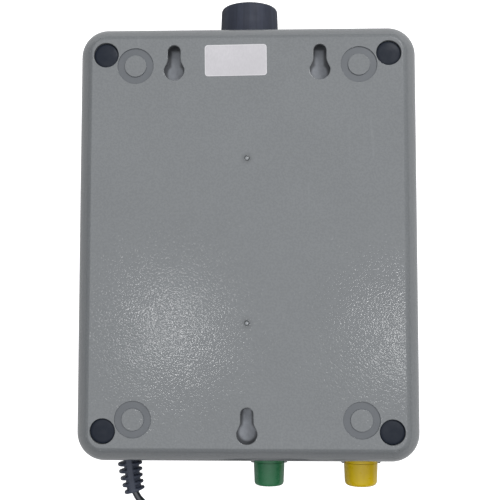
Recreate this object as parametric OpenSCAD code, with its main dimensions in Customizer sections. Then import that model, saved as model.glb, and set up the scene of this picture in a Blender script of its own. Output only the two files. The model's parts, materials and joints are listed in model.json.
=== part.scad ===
// Electric fence energiser in a moulded case, lying on its front face.
// Frame: +X across the case, +Y towards the selector knob, +Z out of the wall face.
// The origin is the centre of the front face.

/* [Case] */
// Width of the case at its widest section
case_w = 150; // [148:1:156]
// Length of the case, terminal end to knob end
case_l = 192; // [191:1:196]
// Depth of the case, front face to wall face
case_t = 75; // [74:1:78]
// Corner radius of the outline
corner_r = 12.5; // [11.5:0.5:13.5]
// Wall thickness
wall = 2.5; // [2.2:0.1:2.8]
// Height of the seam between housing and rear cover
seam_z = 57; // [56:0.5:58]
// Radius of the rear edge rounding
rear_round = 14; // [13:0.5:15]
// How far the flat wall face stops short of the case sides
rear_margin = 6.8; // [6:0.2:7.4]
// Radius of the front edge rounding
front_round = 5; // [3:0.5:6]

/* [Keyholes and screws] */
// Half the spacing of the two upper keyholes
keyhole_x = 32; // [30:0.5:34]
// Diameter that a screw head goes in through
entry_d = 8.9; // [8:0.1:9.5]
// Width of the slot that holds the screw
slot_w = 5.5; // [4.5:0.1:6]
// Travel from entry centre to slot end centre
slot_run = 8.4; // [7.5:0.1:8.6]
// Corner screw position along X
screw_x = 62; // [61.5:0.1:62.2]
// Corner screw position along Y
screw_y = 82; // [81.5:0.1:82.2]
// Diameter of the plugs that hide the case screws
plug_cover_d = 10.7; // [10:0.1:10.8]

/* [Controls and terminals] */
// Height of the knob, terminal and cord axes above the front face
axis_z = 39; // [38:0.5:40]
// Diameter of the selector knob at its skirt
knob_d = 27.8; // [25:0.1:28]
// Distance from the case to the knob's flat end
knob_reach = 17.7; // [17:0.1:19]
// Earth terminal position along X
earth_x = 9.1; // [8:0.1:11]
// Fence terminal position along X
fence_x = 51.5; // [49:0.1:52]
// Diameter of the earth cap at its open end
earth_cap_d = 14.3; // [14:0.1:15]
// Diameter of the fence cap at its open end
fence_cap_d = 15.6; // [15:0.1:16]
// Diameter of the terminal studs
stud_d = 6; // [5.8:0.1:6]

/* [Supply cord] */
// Diameter of the supply cord
cord_d = 3.3; // [3.2:0.1:3.4]
// Bend of the moulded strain relief, in degrees
relief_bend = 17; // [16:0.5:18]

/* [Hidden] */
$fn = 96;

half_l = case_l / 2;
core_w = case_w - 2 * corner_r;
core_l = case_l - 2 * corner_r;
side_z = case_t - sqrt(pow(rear_round, 2) - pow(rear_round - rear_margin, 2));
gasket_h = 0.6;
floor_t = 3;
panel_x = 55;
panel_y = 70;
panel_t = 0.5;
tongue_gap = 0.2;
tongue_t = 1.5;
tongue_h = 2.4;

// Keyholes: entry circle centres, with the slot running towards +Y
keyholes = [[-keyhole_x, 75], [keyhole_x, 75], [0, -83]];
pocket_grow = 2.2;
pocket_wall = 1.7;
pocket_floor_z = 68;
ring_x = 49;
ring_y = 77;
ring_outer_d = 15.8;
ring_inner_d = 9.6;
ring_depth = 0.5;
gate_y = 35.8;
rib_y = [1.5, -25];
// Shallow notches in the cover's rim, one by each keyhole
notch_w = 14.4;
notch_depth = 0.5;
notch_top_z = 66;
notch_x = 33;
well_r = 5.5;
well_wall = 1.8;
well_floor_z = 61;
screw_r = 1.95;
screw_hole_r = 2;
boss_r = 4.2;

board_z = 14;
board_t = 1.6;
board_w = 124;
board_l = 124;
board_y = -10;
board_top = board_z + board_t;
board_hole_x = 52;
board_hole_y = 54;

// Output transformer
core_at = [30, -30, 34.5];
core_t = 20;
limb_w = 18;
coil_w = 34;
bobbin_flange = 2;
// Light pipe, thyristor, connector and output tabs
pipe_y = 40;
pipe_r = 2.4;
pipe_flange_r = 3.4;
switch_x = 7;
switch_y = 20.1;
switch_hole_z = 16.4;
switch_hole_r = 1.4;
connector_at = [-48, -59];
tab_x = [-5, 57.2];
tab_y = -69;
// Clamp that holds the supply lead inside the case
clamp_at = [-55.2, -74.6];
clamp_spread = 7.3;
clamp_z = 31;

// Terminals, from the case outwards along -Y
hole_r = stud_d / 2 + 0.2;
seat_h = 4.4;
seat_recess = 2;
seat_half_z = 2.6;
collar_h = 1.7;
cap_gap = 0.12;
cap_l = 10.6;
collar_y = -half_l - seat_h + seat_recess;
washer_y = collar_y - collar_h;
cap_y = washer_y - cap_gap;
washer_t = 0.8;
insert_r = 4.4;
insert_l = 7;

// Selector switch
bushing_r = 4.5;
shaft_r = 3;
shaft_gap = 0.06;

// Strain relief, bent towards +X about an axis along Z
relief_x = -55.9;
relief_y = -half_l - 1;
relief_l = 17.3;
relief_r = relief_l / (relief_bend * PI / 180);
fin_pitch = 3.08;

// Supply cord: from the strain relief down to the floor, and into the coil
cord_route = [
    [-53.4, -114, 39], [-52.3, -116.3, 38.8], [-50.8, -118.4, 38.3], [-46.8, -122.7, 35.8],
    [-41.5, -126.8, 31.6], [-35, -130, 25.6], [-28, -132.1, 18.8], [-20.8, -133.2, 12.2],
    [-13.8, -133.6, 6.9], [-7, -133.7, 3.7], [0, -133.7, 2.7]
];
// The tail: off the top of the coil, down to the plug
tail_route = [
    [0, -132.1, 12.2], [8, -130.4, 11.8], [16.4, -131.9, 10.4], [23.8, -136.2, 8],
    [29.2, -140.7, 6], [34.5, -145.2, 5]
];
coil_at = [8, -155];
coil_mean_r = 18;
coil_columns = 3;
coil_layers = 4;
tie_t = 0.8;
dc_plug_r = 5;
plug_at = [34.5, -145.2, dc_plug_r];
plug_turn = -40;
sleeve_l = 8;
plug_body_l = 18;
barrel_r = 2.75;
barrel_l = 9.5;
stem_r = 2;
stem_l = 3;

// Leads inside the case
input_route = [
    [relief_x, -91.5, 39], [relief_x, -90, 39], [-55.3, -86, 38.2], [-54.8, -80, 35.8],
    [-55.1, -74.6, 33.7], [-53.8, -69.5, 30.6], [-50.5, -64.8, 26.9], [-48, -61.5, 25.1],
    [-48, -60.2, 25], [-48, -59, 25]
];
earth_route = [
    [earth_x, -80, 34.4], [earth_x, -79, 34.4], [8.2, -76.5, 32.8], [5, -72.8, 28.6], [0, -70.2, 25.4],
    [-4, -69.1, 22.5], [-5, -69, 20], [-5, -69, 17.4]
];
fence_route = [
    [fence_x, -80, 34.4], [fence_x, -79, 34.4], [52, -76.5, 32.8], [54, -72.8, 28.6], [56, -70.2, 25.4],
    [57, -69.1, 22.5], [57.2, -69, 20], [57.2, -69, 17.4]
];

grey = [0.54, 0.555, 0.565];
black = [0.13, 0.14, 0.16];
green = [0.2, 0.45, 0.31];
yellow = [0.8, 0.66, 0.13];
steel = [0.72, 0.73, 0.75];
brass = [0.8, 0.65, 0.32];
board_green = [0.1, 0.35, 0.2];

// ---- helpers ----

function unit(v) = v / norm(v);

function curve_point(p, i, t) =
    let (
        a = i == 0 ? 2 * p[0] - p[1] : p[i - 1],
        b = p[i],
        c = p[i + 1],
        d = i + 2 < len(p) ? p[i + 2] : 2 * p[i + 1] - p[i]
    )
    0.5 * (2 * b + (c - a) * t + (2 * a - 5 * b + 4 * c - d) * t * t + (3 * b - a - 3 * c + d) * t * t * t);

// Points on the smooth curve through a route, with a number of steps between its points
function smooth(p, steps) =
    concat([for (i = [0 : len(p) - 2], k = [0 : steps - 1]) curve_point(p, i, k / steps)], [p[len(p) - 1]]);

// A round tube along a route. The side vector is never in line with the route.
module swept_tube(route, r, steps, side) {
    sides = 8;
    p = smooth(route, steps);
    last = len(p) - 1;
    t = [for (i = [0 : last]) unit(p[min(i + 1, last)] - p[max(i - 1, 0)])];
    u = [for (i = [0 : last]) unit(cross(side, t[i]))];
    v = [for (i = [0 : last]) cross(t[i], u[i])];
    points = [
        for (i = [0 : last], k = [0 : sides - 1])
            p[i] + r * (cos(k * 360 / sides) * u[i] + sin(k * 360 / sides) * v[i])
    ];
    walls = [
        for (i = [0 : last - 1], k = [0 : sides - 1], half = [0, 1])
            let (a = i * sides + k, b = i * sides + (k + 1) % sides)
            half == 0 ? [a, a + sides, b + sides] : [a, b + sides, b]
    ];
    start_cap = [[for (k = [0 : sides - 1]) k]];
    end_cap = [[for (k = [sides - 1 : -1 : 0]) last * sides + k]];
    polyhedron(points, concat(walls, start_cap, end_cap), convexity = 6);
}

// Cylinder along Y, from y0 towards smaller or larger y
module rod_y(x, z, y0, y1, r, r_end = -1) {
    len_y = y1 - y0;
    translate([x, y0, z]) rotate([len_y > 0 ? -90 : 90, 0, 0])
        cylinder(h = abs(len_y), r1 = r, r2 = r_end < 0 ? r : r_end);
}

module box(low, high) {
    translate(low) cube(high - low);
}

module at_corners(x, y) {
    for (sx = [-1, 1], sy = [-1, 1]) translate([sx * x, sy * y, 0]) children();
}

// Solid case shape: a section that is drawn from the corner centre outwards goes round the outline
module round_case(z0, z1) {
    translate([0, 0, z0]) linear_extrude(z1 - z0) square([core_w, core_l], center = true);
    for (turn = [0, 180]) rotate([0, 0, turn]) {
        translate([core_w / 2, 0, 0]) rotate([90, 0, 0])
            linear_extrude(core_l, center = true) children();
        translate([0, core_l / 2, 0]) rotate([90, 0, 90])
            linear_extrude(core_w, center = true) children();
        translate([core_w / 2, core_l / 2, 0]) rotate_extrude(angle = 90) children();
        translate([-core_w / 2, core_l / 2, 0]) rotate([0, 0, 90]) rotate_extrude(angle = 90) children();
    }
}

module straight_section(inset, z0, z1) {
    translate([0, z0]) square([corner_r - inset, z1 - z0]);
}

module rear_section(inset, z0, z1) {
    intersection() {
        straight_section(inset, z0, z1);
        union() {
            straight_section(inset, z0, side_z);
            translate([corner_r - rear_round, side_z]) circle(r = rear_round - inset);
        }
    }
}

module front_section(inset, z0, z1) {
    r = front_round - inset;
    translate([0, front_round]) square([corner_r - inset, z1 - front_round]);
    translate([0, z0]) square([corner_r - front_round, z1 - z0]);
    translate([corner_r - front_round, front_round]) circle(r = r);
}

module slab(inset, z0, z1) {
    round_case(z0, z1) straight_section(inset, z0, z1);
}

module rear_shape(inset, z0, z1) {
    round_case(z0, z1) rear_section(inset, z0, z1);
}

module front_shape(inset, z0, z1) {
    round_case(z0, z1) front_section(inset, z0, z1);
}

module keyhole_outline(grow) {
    circle(r = entry_d / 2 + grow);
    translate([-slot_w / 2 - grow, 0]) square([slot_w + 2 * grow, slot_run]);
    translate([0, slot_run]) circle(r = slot_w / 2 + grow);
}

module keyhole_blocks(grow, z0, z1) {
    for (at = keyholes) translate([at[0], at[1], z0]) linear_extrude(z1 - z0) keyhole_outline(grow);
}

module at_clamp_posts() {
    for (side = [-1, 1]) translate([clamp_at[0] + side * clamp_spread, clamp_at[1], 0]) children();
}

module cross_recess(r, depth) {
    for (turn = [0, 90]) rotate([0, 0, turn]) translate([-r, -0.5, -depth]) cube([2 * r, 1, depth + 1]);
}

// ---- case ----

module rear_cover() {
    color(grey) difference() {
        union() {
            difference() {
                rear_shape(0, seam_z, case_t);
                rear_shape(wall, seam_z - 1, case_t - wall);
            }
            difference() {
                union() {
                    slab(wall + tongue_gap, seam_z - tongue_h, seam_z + 2);
                    slab(wall - 0.5, seam_z + 1, seam_z + 4);
                }
                slab(wall + tongue_gap + tongue_t, seam_z - tongue_h - 1, seam_z + 5);
            }
            intersection() {
                rear_shape(0.5, seam_z, case_t - 0.5);
                union() {
                    at_corners(screw_x, screw_y) translate([0, 0, seam_z])
                        cylinder(h = case_t - seam_z, r = well_r + well_wall);
                    keyhole_blocks(pocket_grow + pocket_wall, pocket_floor_z - pocket_wall, case_t - 1);
                }
            }
            for (y = rib_y) box([-28, y - 0.8, 67], [25, y + 0.8, case_t - 1]);
        }
        keyhole_blocks(0, case_t - wall - 1, case_t + 1);
        keyhole_blocks(pocket_grow, pocket_floor_z, case_t - wall);
        at_corners(screw_x, screw_y) {
            translate([0, 0, well_floor_z]) cylinder(h = case_t, r = well_r);
            translate([0, 0, seam_z - 5]) cylinder(h = case_t, r = screw_hole_r + 0.3);
        }
        at_corners(ring_x, ring_y) translate([0, 0, case_t - ring_depth]) difference() {
            cylinder(h = ring_depth + 1, d = ring_outer_d);
            translate([0, 0, -1]) cylinder(h = ring_depth + 3, d = ring_inner_d);
        }
        for (y = [-gate_y, gate_y]) translate([0, y, case_t - 0.4]) cylinder(h = 1, r = 1.2);
        for (at = [[-notch_x, half_l], [notch_x, half_l], [0, -half_l]])
            translate([at[0] - notch_w / 2, at[1] - notch_depth, seam_z - 1])
                cube([notch_w, 2 * notch_depth, notch_top_z - seam_z + 1]);
    }
}

module terminal_seat(x, cap_d) {
    seat_r = cap_d / 2 + 1.3;
    rod_y(x, axis_z, -half_l + 1, collar_y, cap_d / 2 - 0.5);
    difference() {
        intersection() {
            rod_y(x, axis_z, -half_l + 1, -half_l - seat_h, seat_r + 0.9, seat_r);
            box([x - 20, -half_l - 10, axis_z - seat_half_z], [x + 20, -half_l + 2, axis_z + seat_half_z]);
        }
        rod_y(x, axis_z, collar_y, collar_y - 5, cap_d / 2 + 0.15);
    }
}

module front_housing() {
    board_post_h = board_z - floor_t + 1;
    color(grey) difference() {
        union() {
            difference() {
                front_shape(0, 0, seam_z - gasket_h);
                front_shape(wall, floor_t, seam_z + 1);
            }
            at_corners(screw_x, screw_y) translate([0, 0, floor_t - 1])
                cylinder(h = seam_z - floor_t + 1, r = boss_r);
            translate([0, board_y, floor_t - 1]) at_corners(board_hole_x, board_hole_y)
                cylinder(h = board_post_h, r = 3.2);
            terminal_seat(earth_x, earth_cap_d);
            terminal_seat(fence_x, fence_cap_d);
            at_clamp_posts() translate([0, 0, floor_t - 1]) cylinder(h = clamp_z - floor_t + 1, r = 2.5);
        }
        at_corners(screw_x, screw_y) translate([0, 0, 12]) cylinder(h = 60, r = screw_hole_r);
        translate([0, board_y, 5]) at_corners(board_hole_x, board_hole_y) cylinder(h = 20, r = 1.3);
        at_clamp_posts() translate([0, 0, 15]) cylinder(h = 20, r = 1.1);
        for (x = [earth_x, fence_x]) rod_y(x, axis_z, -half_l + wall + 2, -half_l - 10, hole_r);
        rod_y(0, axis_z, half_l - wall - 1, half_l + 1, bushing_r + 0.15);
        rod_y(relief_x, axis_z, -half_l + wall + 1, -half_l - 1, 4.6);
        box([-panel_x - 0.25, -panel_y - 0.25, -1], [panel_x + 0.25, panel_y + 0.25, panel_t]);
        translate([0, pipe_y, -1]) cylinder(h = 10, r = pipe_r + 0.1);
        translate([0, pipe_y, floor_t - 0.6]) cylinder(h = 10, r = pipe_flange_r + 0.2);
    }
}

module case_gasket() {
    color(black) difference() {
        slab(0.5, seam_z - gasket_h, seam_z);
        slab(wall - 0.1, seam_z - 2, seam_z + 1);
    }
}

module case_screws() {
    shank_z = 26;
    point_l = 3;
    head_h = 2.6;
    color(steel) at_corners(screw_x, screw_y) difference() {
        union() {
            translate([0, 0, shank_z]) cylinder(h = well_floor_z - shank_z, r = screw_r);
            translate([0, 0, well_floor_z]) cylinder(h = head_h, r = 4);
            translate([0, 0, shank_z - point_l]) cylinder(h = point_l, r1 = 0.6, r2 = screw_r);
        }
        translate([0, 0, well_floor_z + head_h]) cross_recess(2, 1.6);
    }
}

module corner_plugs() {
    r = plug_cover_d / 2;
    foot_z = 68;
    rim_z = case_t - 1.1;
    dome_h = 0.7;
    dome_r = (r * r + dome_h * dome_h) / (2 * dome_h);
    color(black) at_corners(screw_x, screw_y) difference() {
        union() {
            translate([0, 0, foot_z]) cylinder(h = rim_z - foot_z, r = r);
            intersection() {
                translate([0, 0, rim_z - 0.5]) cylinder(h = 3, r = r);
                translate([0, 0, rim_z + dome_h - dome_r]) sphere(r = dome_r);
            }
        }
        translate([0, 0, foot_z - 1]) cylinder(h = 5, r = r - 1.2);
    }
}

module front_panel() {
    color([0.83, 0.83, 0.8]) box([-panel_x, -panel_y, 0], [panel_x, panel_y, panel_t]);
}

module light_pipe() {
    color([0.8, 0.85, 0.85]) translate([0, pipe_y, panel_t]) {
        cylinder(h = 8, r = pipe_r);
        translate([0, 0, floor_t - panel_t - 0.6]) cylinder(h = 1.2, r = pipe_flange_r);
    }
}

// ---- electronics ----

module status_led() {
    dome_z = 10.4;
    lens_r = 1.5;
    color([0.8, 0.15, 0.1]) translate([0, pipe_y, 0]) {
        translate([0, 0, dome_z]) cylinder(h = board_z - dome_z, r = lens_r);
        translate([0, 0, dome_z]) sphere(r = lens_r);
        translate([0, 0, board_z - 1]) cylinder(h = 1, r = lens_r + 0.4);
    }
}

module circuit_board() {
    color(board_green) difference() {
        translate([-board_w / 2, board_y - board_l / 2, board_z]) cube([board_w, board_l, board_t]);
        translate([0, board_y, board_z - 1]) at_corners(board_hole_x, board_hole_y) cylinder(h = 5, r = 1.7);
    }
}

module board_screws() {
    tip_z = 7;
    head_h = 1.8;
    color(steel) translate([0, board_y, 0]) at_corners(board_hole_x, board_hole_y) difference() {
        union() {
            translate([0, 0, tip_z]) cylinder(h = board_top - tip_z, r = 1.25);
            translate([0, 0, board_top]) cylinder(h = head_h, r = 2.7);
        }
        translate([0, 0, board_top + head_h]) cross_recess(1.5, 1);
    }
}

// Output transformer: shell core of laminations, with the bobbin and winding on its middle limb
module transformer_core() {
    window_x = 13.5;
    color([0.35, 0.35, 0.37]) translate(core_at) difference() {
        cube([54, 45, core_t], center = true);
        for (x = [-window_x, window_x]) translate([x, 0, 0]) cube([9, 27, core_t + 10], center = true);
    }
}

module transformer_bobbin() {
    flange_y = 12.3;
    color([0.1, 0.1, 0.1]) translate(core_at) difference() {
        union() {
            cube([limb_w + 2.8, 26.6, core_t + 2.8], center = true);
            for (y = [-flange_y, flange_y]) translate([0, y, 0])
                cube([coil_w + 1, bobbin_flange, coil_w + 3.2], center = true);
        }
        cube([limb_w + 0.4, 40, core_t + 0.4], center = true);
    }
}

module transformer_winding() {
    color([0.75, 0.62, 0.2]) translate(core_at) difference() {
        cube([coil_w, 22.4, coil_w], center = true);
        cube([limb_w + 2.9, 40, core_t + 2.9], center = true);
    }
}

// Main capacitor: a lying can with a crimped step at each end
module storage_capacitor() {
    can_r = 16;
    can_at = [-28, board_top + can_r + 0.2];
    can_y = [-56, -8];
    color([0.85, 0.83, 0.76]) {
        rod_y(can_at[0], can_at[1], can_y[0], can_y[1], can_r);
        for (y = [can_y[0] - 1, can_y[1] + 1]) rod_y(can_at[0], can_at[1], y - 1, y + 1, can_r - 3);
    }
}

module filter_capacitors() {
    can_r = 8;
    color([0.12, 0.14, 0.3]) for (x = [-46, -26]) translate([x, 18, board_top]) {
        cylinder(h = 1, r = can_r - 0.6);
        translate([0, 0, 1]) cylinder(h = 24, r = can_r);
    }
}

module thyristor() {
    body_t = 4.2;
    tab_t = 1.2;
    color([0.1, 0.1, 0.1]) translate([switch_x, switch_y, board_top]) difference() {
        union() {
            box([-5, 0, 4], [5, body_t, 13]);
            box([-5, 0, 13], [5, tab_t, 19.6]);
            for (x = [-2.8, 0, 2.8]) box([x - 0.4, 2.1, 0], [x + 0.4, 2.6, 4.5]);
        }
        rod_y(0, switch_hole_z, -1, 2, switch_hole_r);
    }
}

module heatsink() {
    plate_t = 2;
    sink_w = 20;
    sink_h = 27;
    fin_l = 8;
    fins = 6;
    pitch = (sink_w - 1.5) / (fins - 1);
    color([0.75, 0.76, 0.78]) translate([switch_x, switch_y - 0.1, board_top]) difference() {
        union() {
            box([-sink_w / 2, -plate_t, 0], [sink_w / 2, 0, sink_h]);
            for (k = [0 : fins - 1]) translate([-sink_w / 2 + k * pitch, 0, 0])
                box([0, -plate_t - fin_l, 0], [1.5, -1.5, sink_h]);
        }
        rod_y(0, switch_hole_z, -20, 5, switch_hole_r);
    }
}

module thyristor_screw() {
    color(steel) translate([switch_x, switch_y, board_top]) {
        rod_y(0, switch_hole_z, -4.6, 1.2, switch_hole_r - 0.1);
        rod_y(0, switch_hole_z, 1.2, 3.2, 2.7);
    }
}

module inverter_transformer() {
    foot_h = 4;
    color([0.8, 0.7, 0.2]) translate([39, 19, board_top]) {
        box([-11, -9, 0], [11, 9, foot_h]);
        box([-9, -8, foot_h], [9, 8, 16]);
        box([-13, -5, foot_h + 1], [13, 5, 15]);
    }
}

module control_chip() {
    pins = 8;
    pin_pitch = 2.54;
    color([0.1, 0.1, 0.11]) translate([1, 35.2, board_top]) {
        box([-10, -3.2, 0.8], [10, 3.2, 4.2]);
        for (k = [0 : pins - 1], side = [-1, 1])
            translate([(k - (pins - 1) / 2) * pin_pitch, side * 3.5, 0])
                box([-0.25, -0.4, 0], [0.25, 0.4, 2.4]);
    }
}

module resistors() {
    body_r = 1.3;
    length_y = 7;
    color([0.75, 0.6, 0.42]) for (k = [0 : 5]) translate([20 + k * 5, 33, board_top + 1.5]) {
        rod_y(0, 0, 0, length_y, body_r);
        for (y = [0, length_y]) rod_y(0, 0, y - 0.5, y + 0.5, body_r + 0.2);
    }
}

module supply_connector() {
    header_h = 7.4;
    color([0.9, 0.9, 0.86]) translate([connector_at[0], connector_at[1], board_top]) {
        box([-5, -2, 0], [5, 9, header_h]);
        box([-4, 0, header_h], [4, 8, 12]);
    }
}

module output_tabs() {
    color(steel) for (x = tab_x) translate([x, tab_y, board_top]) box([-3.1, -0.4, 0], [3.1, 0.4, 1.6]);
}

module earth_lead() {
    color(green) swept_tube(earth_route, 1.4, 2, [1, 0, 0]);
}

module fence_lead() {
    color(yellow) swept_tube(fence_route, 1.4, 2, [1, 0, 0]);
}

module input_lead() {
    color(black) swept_tube(input_route, cord_d / 2, 2, [1, 0, 0]);
}

module lead_clamp() {
    hump = 3.1;
    plate = clamp_spread + 2.5;
    color([0.9, 0.9, 0.86]) translate([clamp_at[0], clamp_at[1], clamp_z]) difference() {
        union() {
            box([-plate, -2, 0], [plate, 2, 2]);
            box([-hump - 1.2, -2, 0], [hump + 1.2, 2, 6]);
        }
        box([-hump, -3, -1], [hump, 3, 4.8]);
        for (x = [-clamp_spread, clamp_spread]) translate([x, 0, -1]) cylinder(h = 5, r = 1.3);
    }
}

module clamp_screws() {
    color(steel) at_clamp_posts() {
        translate([0, 0, 20]) cylinder(h = clamp_z + 2 - 20, r = 1.05);
        translate([0, 0, clamp_z + 2]) cylinder(h = 1.6, r = 2.3);
    }
}

// ---- selector ----

module selector_switch() {
    inner_y = half_l - wall;
    color([0.25, 0.25, 0.27]) difference() {
        union() {
            rod_y(0, axis_z, inner_y - 17, inner_y - 1, 13);
            rod_y(0, axis_z, inner_y - 2, inner_y, 6.5);
            rod_y(0, axis_z, inner_y - 2, half_l + 6, bushing_r);
            for (k = [0 : 11]) translate([0, inner_y - 17, axis_z]) rotate([0, k * 30, 0])
                translate([11, -3, -0.9]) cube([0.8, 4, 1.8]);
        }
        rod_y(0, axis_z, inner_y - 15, half_l + 10, shaft_r + shaft_gap);
    }
}

module selector_washer() {
    color(black) difference() {
        rod_y(0, axis_z, half_l, half_l + 0.8, 8);
        rod_y(0, axis_z, half_l - 1, half_l + 2, bushing_r + 0.1);
    }
}

module selector_nut() {
    color(steel) difference() {
        translate([0, half_l + 0.8, axis_z]) rotate([-90, 0, 0]) cylinder(h = 2.6, r = 7, $fn = 6);
        rod_y(0, axis_z, half_l, half_l + 5, bushing_r + 0.05);
    }
}

module selector_shaft() {
    color(brass) rod_y(0, axis_z, half_l - wall - 14, half_l + 14, shaft_r);
}

module knob_section(reach, r0, r1, rim) {
    polygon([[0, 0], [r0, 0], [r1, reach - rim], [r1 - rim, reach], [0, reach]]);
    translate([r1 - rim, reach - rim]) circle(r = rim);
}

module selector_knob() {
    skirt_gap = 0.6;
    reach = knob_reach - skirt_gap;
    color(black) difference() {
        translate([0, half_l + skirt_gap, axis_z]) rotate([-90, 0, 0])
            rotate_extrude() knob_section(reach, knob_d / 2, knob_d / 2 - 0.6, 1.2);
        rod_y(0, axis_z, half_l - 1, half_l + 7, knob_d / 2 - 2.2);
        rod_y(0, axis_z, half_l, half_l + 14.2, shaft_r + 0.02);
        translate([0, half_l + 10.5, axis_z]) rotate([180, 0, 0]) cylinder(h = 20, r = 1.55);
    }
}

module knob_set_screw() {
    color(steel) translate([0, half_l + 10.5, axis_z - shaft_r - 5.2]) difference() {
        cylinder(h = 5, r = 1.5);
        translate([0, 0, -1]) cylinder(h = 2.4, r = 0.8, $fn = 6);
    }
}

// ---- terminals ----

module stud(x) {
    color(steel) rod_y(x, axis_z, -half_l + 15, washer_y - 6.8, stud_d / 2);
}

module collar(x, cap_d, tint) {
    color(tint) difference() {
        rod_y(x, axis_z, collar_y, washer_y, cap_d / 2);
        rod_y(x, axis_z, collar_y + 1, washer_y - 1, hole_r);
    }
}

module clamp_washer(x) {
    color(steel) difference() {
        rod_y(x, axis_z, washer_y, washer_y - washer_t, 5.5);
        rod_y(x, axis_z, washer_y + 1, washer_y - 3, stud_d / 2 + 0.1);
    }
}

module brass_insert(x) {
    color(brass) difference() {
        rod_y(x, axis_z, washer_y - washer_t, washer_y - washer_t - insert_l, insert_r);
        rod_y(x, axis_z, washer_y, washer_y - 20, stud_d / 2 + 0.1);
    }
}

module terminal_cap(x, cap_d, tint) {
    rim = 2;
    insert_end = washer_y - washer_t - insert_l;
    color(tint) difference() {
        translate([x, cap_y, axis_z]) rotate([90, 0, 0])
            rotate_extrude() knob_section(cap_l, cap_d / 2, cap_d / 2 - 0.4, rim);
        rod_y(x, axis_z, cap_y + 1, washer_y - washer_t, 5.9);
        rod_y(x, axis_z, cap_y + 1, insert_end, insert_r);
    }
}

module earth_stud() { stud(earth_x); }
module fence_stud() { stud(fence_x); }
module earth_collar() { collar(earth_x, earth_cap_d, green); }
module fence_collar() { collar(fence_x, fence_cap_d, yellow); }
module earth_clamp_washer() { clamp_washer(earth_x); }
module fence_clamp_washer() { clamp_washer(fence_x); }
module earth_insert() { brass_insert(earth_x); }
module fence_insert() { brass_insert(fence_x); }
module earth_cap() { terminal_cap(earth_x, earth_cap_d, green); }
module fence_cap() { terminal_cap(fence_x, fence_cap_d, yellow); }

module stud_washers() {
    y = -half_l + wall;
    color(steel) for (x = [earth_x, fence_x]) difference() {
        rod_y(x, axis_z, y, y + 1, 6.5);
        rod_y(x, axis_z, y - 1, y + 3, stud_d / 2 + 0.05);
    }
}

// Two nuts on each stud, with the ring terminal between them
module stud_nuts() {
    y = -half_l + wall + 1;
    nut_h = 5;
    corner_radius = 5.77;
    color(steel) for (x = [earth_x, fence_x], lift = [0, nut_h + 0.8]) difference() {
        translate([x, y + lift, axis_z]) rotate([-90, 30, 0])
            cylinder(h = nut_h, r = corner_radius, $fn = 6);
        rod_y(x, axis_z, y - 1, y + 15, stud_d / 2 + 0.05);
    }
}

module ring_terminals() {
    y = -half_l + wall + 6;
    color(steel) for (x = [earth_x, fence_x]) difference() {
        union() {
            rod_y(x, axis_z, y, y + 0.8, 5.4);
            box([x - 2.2, y, axis_z - 9.8], [x + 2.2, y + 0.8, axis_z - 3]);
            box([x - 2.2, y, axis_z - 9.8], [x + 2.2, -80, axis_z - 9]);
            rod_y(x, axis_z - 4.6, -80.8, -80, 2.1);
            box([x - 1, -80.8, axis_z - 9.8], [x + 1, -80, axis_z - 5]);
        }
        rod_y(x, axis_z, y - 1, y + 3, stud_d / 2 + 0.05);
    }
}

// ---- supply cord ----

// Puts its children on the strain relief's axis, a distance along it, facing down the cord
module on_relief(s) {
    turn = s / relief_r * 180 / PI;
    translate([relief_x + relief_r, relief_y, axis_z]) rotate([0, 0, turn])
        translate([-relief_r, 0, 0]) rotate([90, 0, 0]) children();
}

module strain_relief() {
    color(black) {
        rod_y(relief_x, axis_z, -half_l + wall + 2, -half_l + wall, 6.2);
        rod_y(relief_x, axis_z, -half_l + wall + 0.5, -half_l - 0.5, 4.5);
        rod_y(relief_x, axis_z, -half_l, relief_y, 6);
        translate([relief_x + relief_r, relief_y, axis_z]) rotate([0, 0, 180])
            rotate_extrude(angle = relief_bend, $fn = 360) translate([relief_r, 0]) intersection() {
                circle(r = 4.2, $fn = 48);
                square([7.1, 10], center = true);
            }
        for (k = [0 : 5]) on_relief(0.5 + k * fin_pitch) cylinder(h = 1.4, r = 5.9 - 0.22 * k);
    }
}

module supply_cord() {
    color(black) swept_tube(cord_route, cord_d / 2, 3, [0, 0, 1]);
}

module cord_coil() {
    half_band = coil_columns * cord_d / 2;
    color(black) translate([coil_at[0], coil_at[1], tie_t]) rotate_extrude()
        translate([coil_mean_r - half_band, 0]) square([2 * half_band, coil_layers * cord_d]);
}

module cord_tail() {
    color(black) swept_tube(tail_route, cord_d / 2, 3, [0, 0, 1]);
}

module cord_tie() {
    band = coil_columns * cord_d / 2;
    top = coil_layers * cord_d + 2 * tie_t + 0.2;
    near = coil_mean_r - band - 0.4;
    far = coil_mean_r + band + 0.2;
    color([0.3, 0.3, 0.32]) translate([coil_at[0], coil_at[1], 0]) rotate([0, 0, -90]) difference() {
        box([near - tie_t, -2.5, 0], [far + tie_t, 2.5, top]);
        box([near, -3, tie_t], [far, 3, top - tie_t]);
    }
}

module at_plug() {
    translate(plug_at) rotate([0, 0, plug_turn]) rotate([0, 90, 0]) children();
}

module plug_body() {
    color(black) at_plug() difference() {
        union() {
            cylinder(h = sleeve_l, r1 = 2.2, r2 = 3.6);
            translate([0, 0, sleeve_l]) cylinder(h = plug_body_l, r = dc_plug_r);
        }
        for (k = [0 : 4]) translate([0, 0, sleeve_l + 3 + k * 2.6]) difference() {
            cylinder(h = 1, r = dc_plug_r + 1);
            translate([0, 0, -1]) cylinder(h = 3, r = dc_plug_r - 0.4);
        }
        translate([0, 0, sleeve_l + plug_body_l - stem_l]) cylinder(h = 5, r = stem_r);
    }
}

module plug_barrel() {
    color(steel) at_plug() translate([0, 0, sleeve_l + plug_body_l]) difference() {
        union() {
            translate([0, 0, -stem_l]) cylinder(h = stem_l + 0.5, r = stem_r);
            cylinder(h = barrel_l, r = barrel_r);
        }
        translate([0, 0, 1]) cylinder(h = barrel_l, r = 2.3);
    }
}

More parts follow.
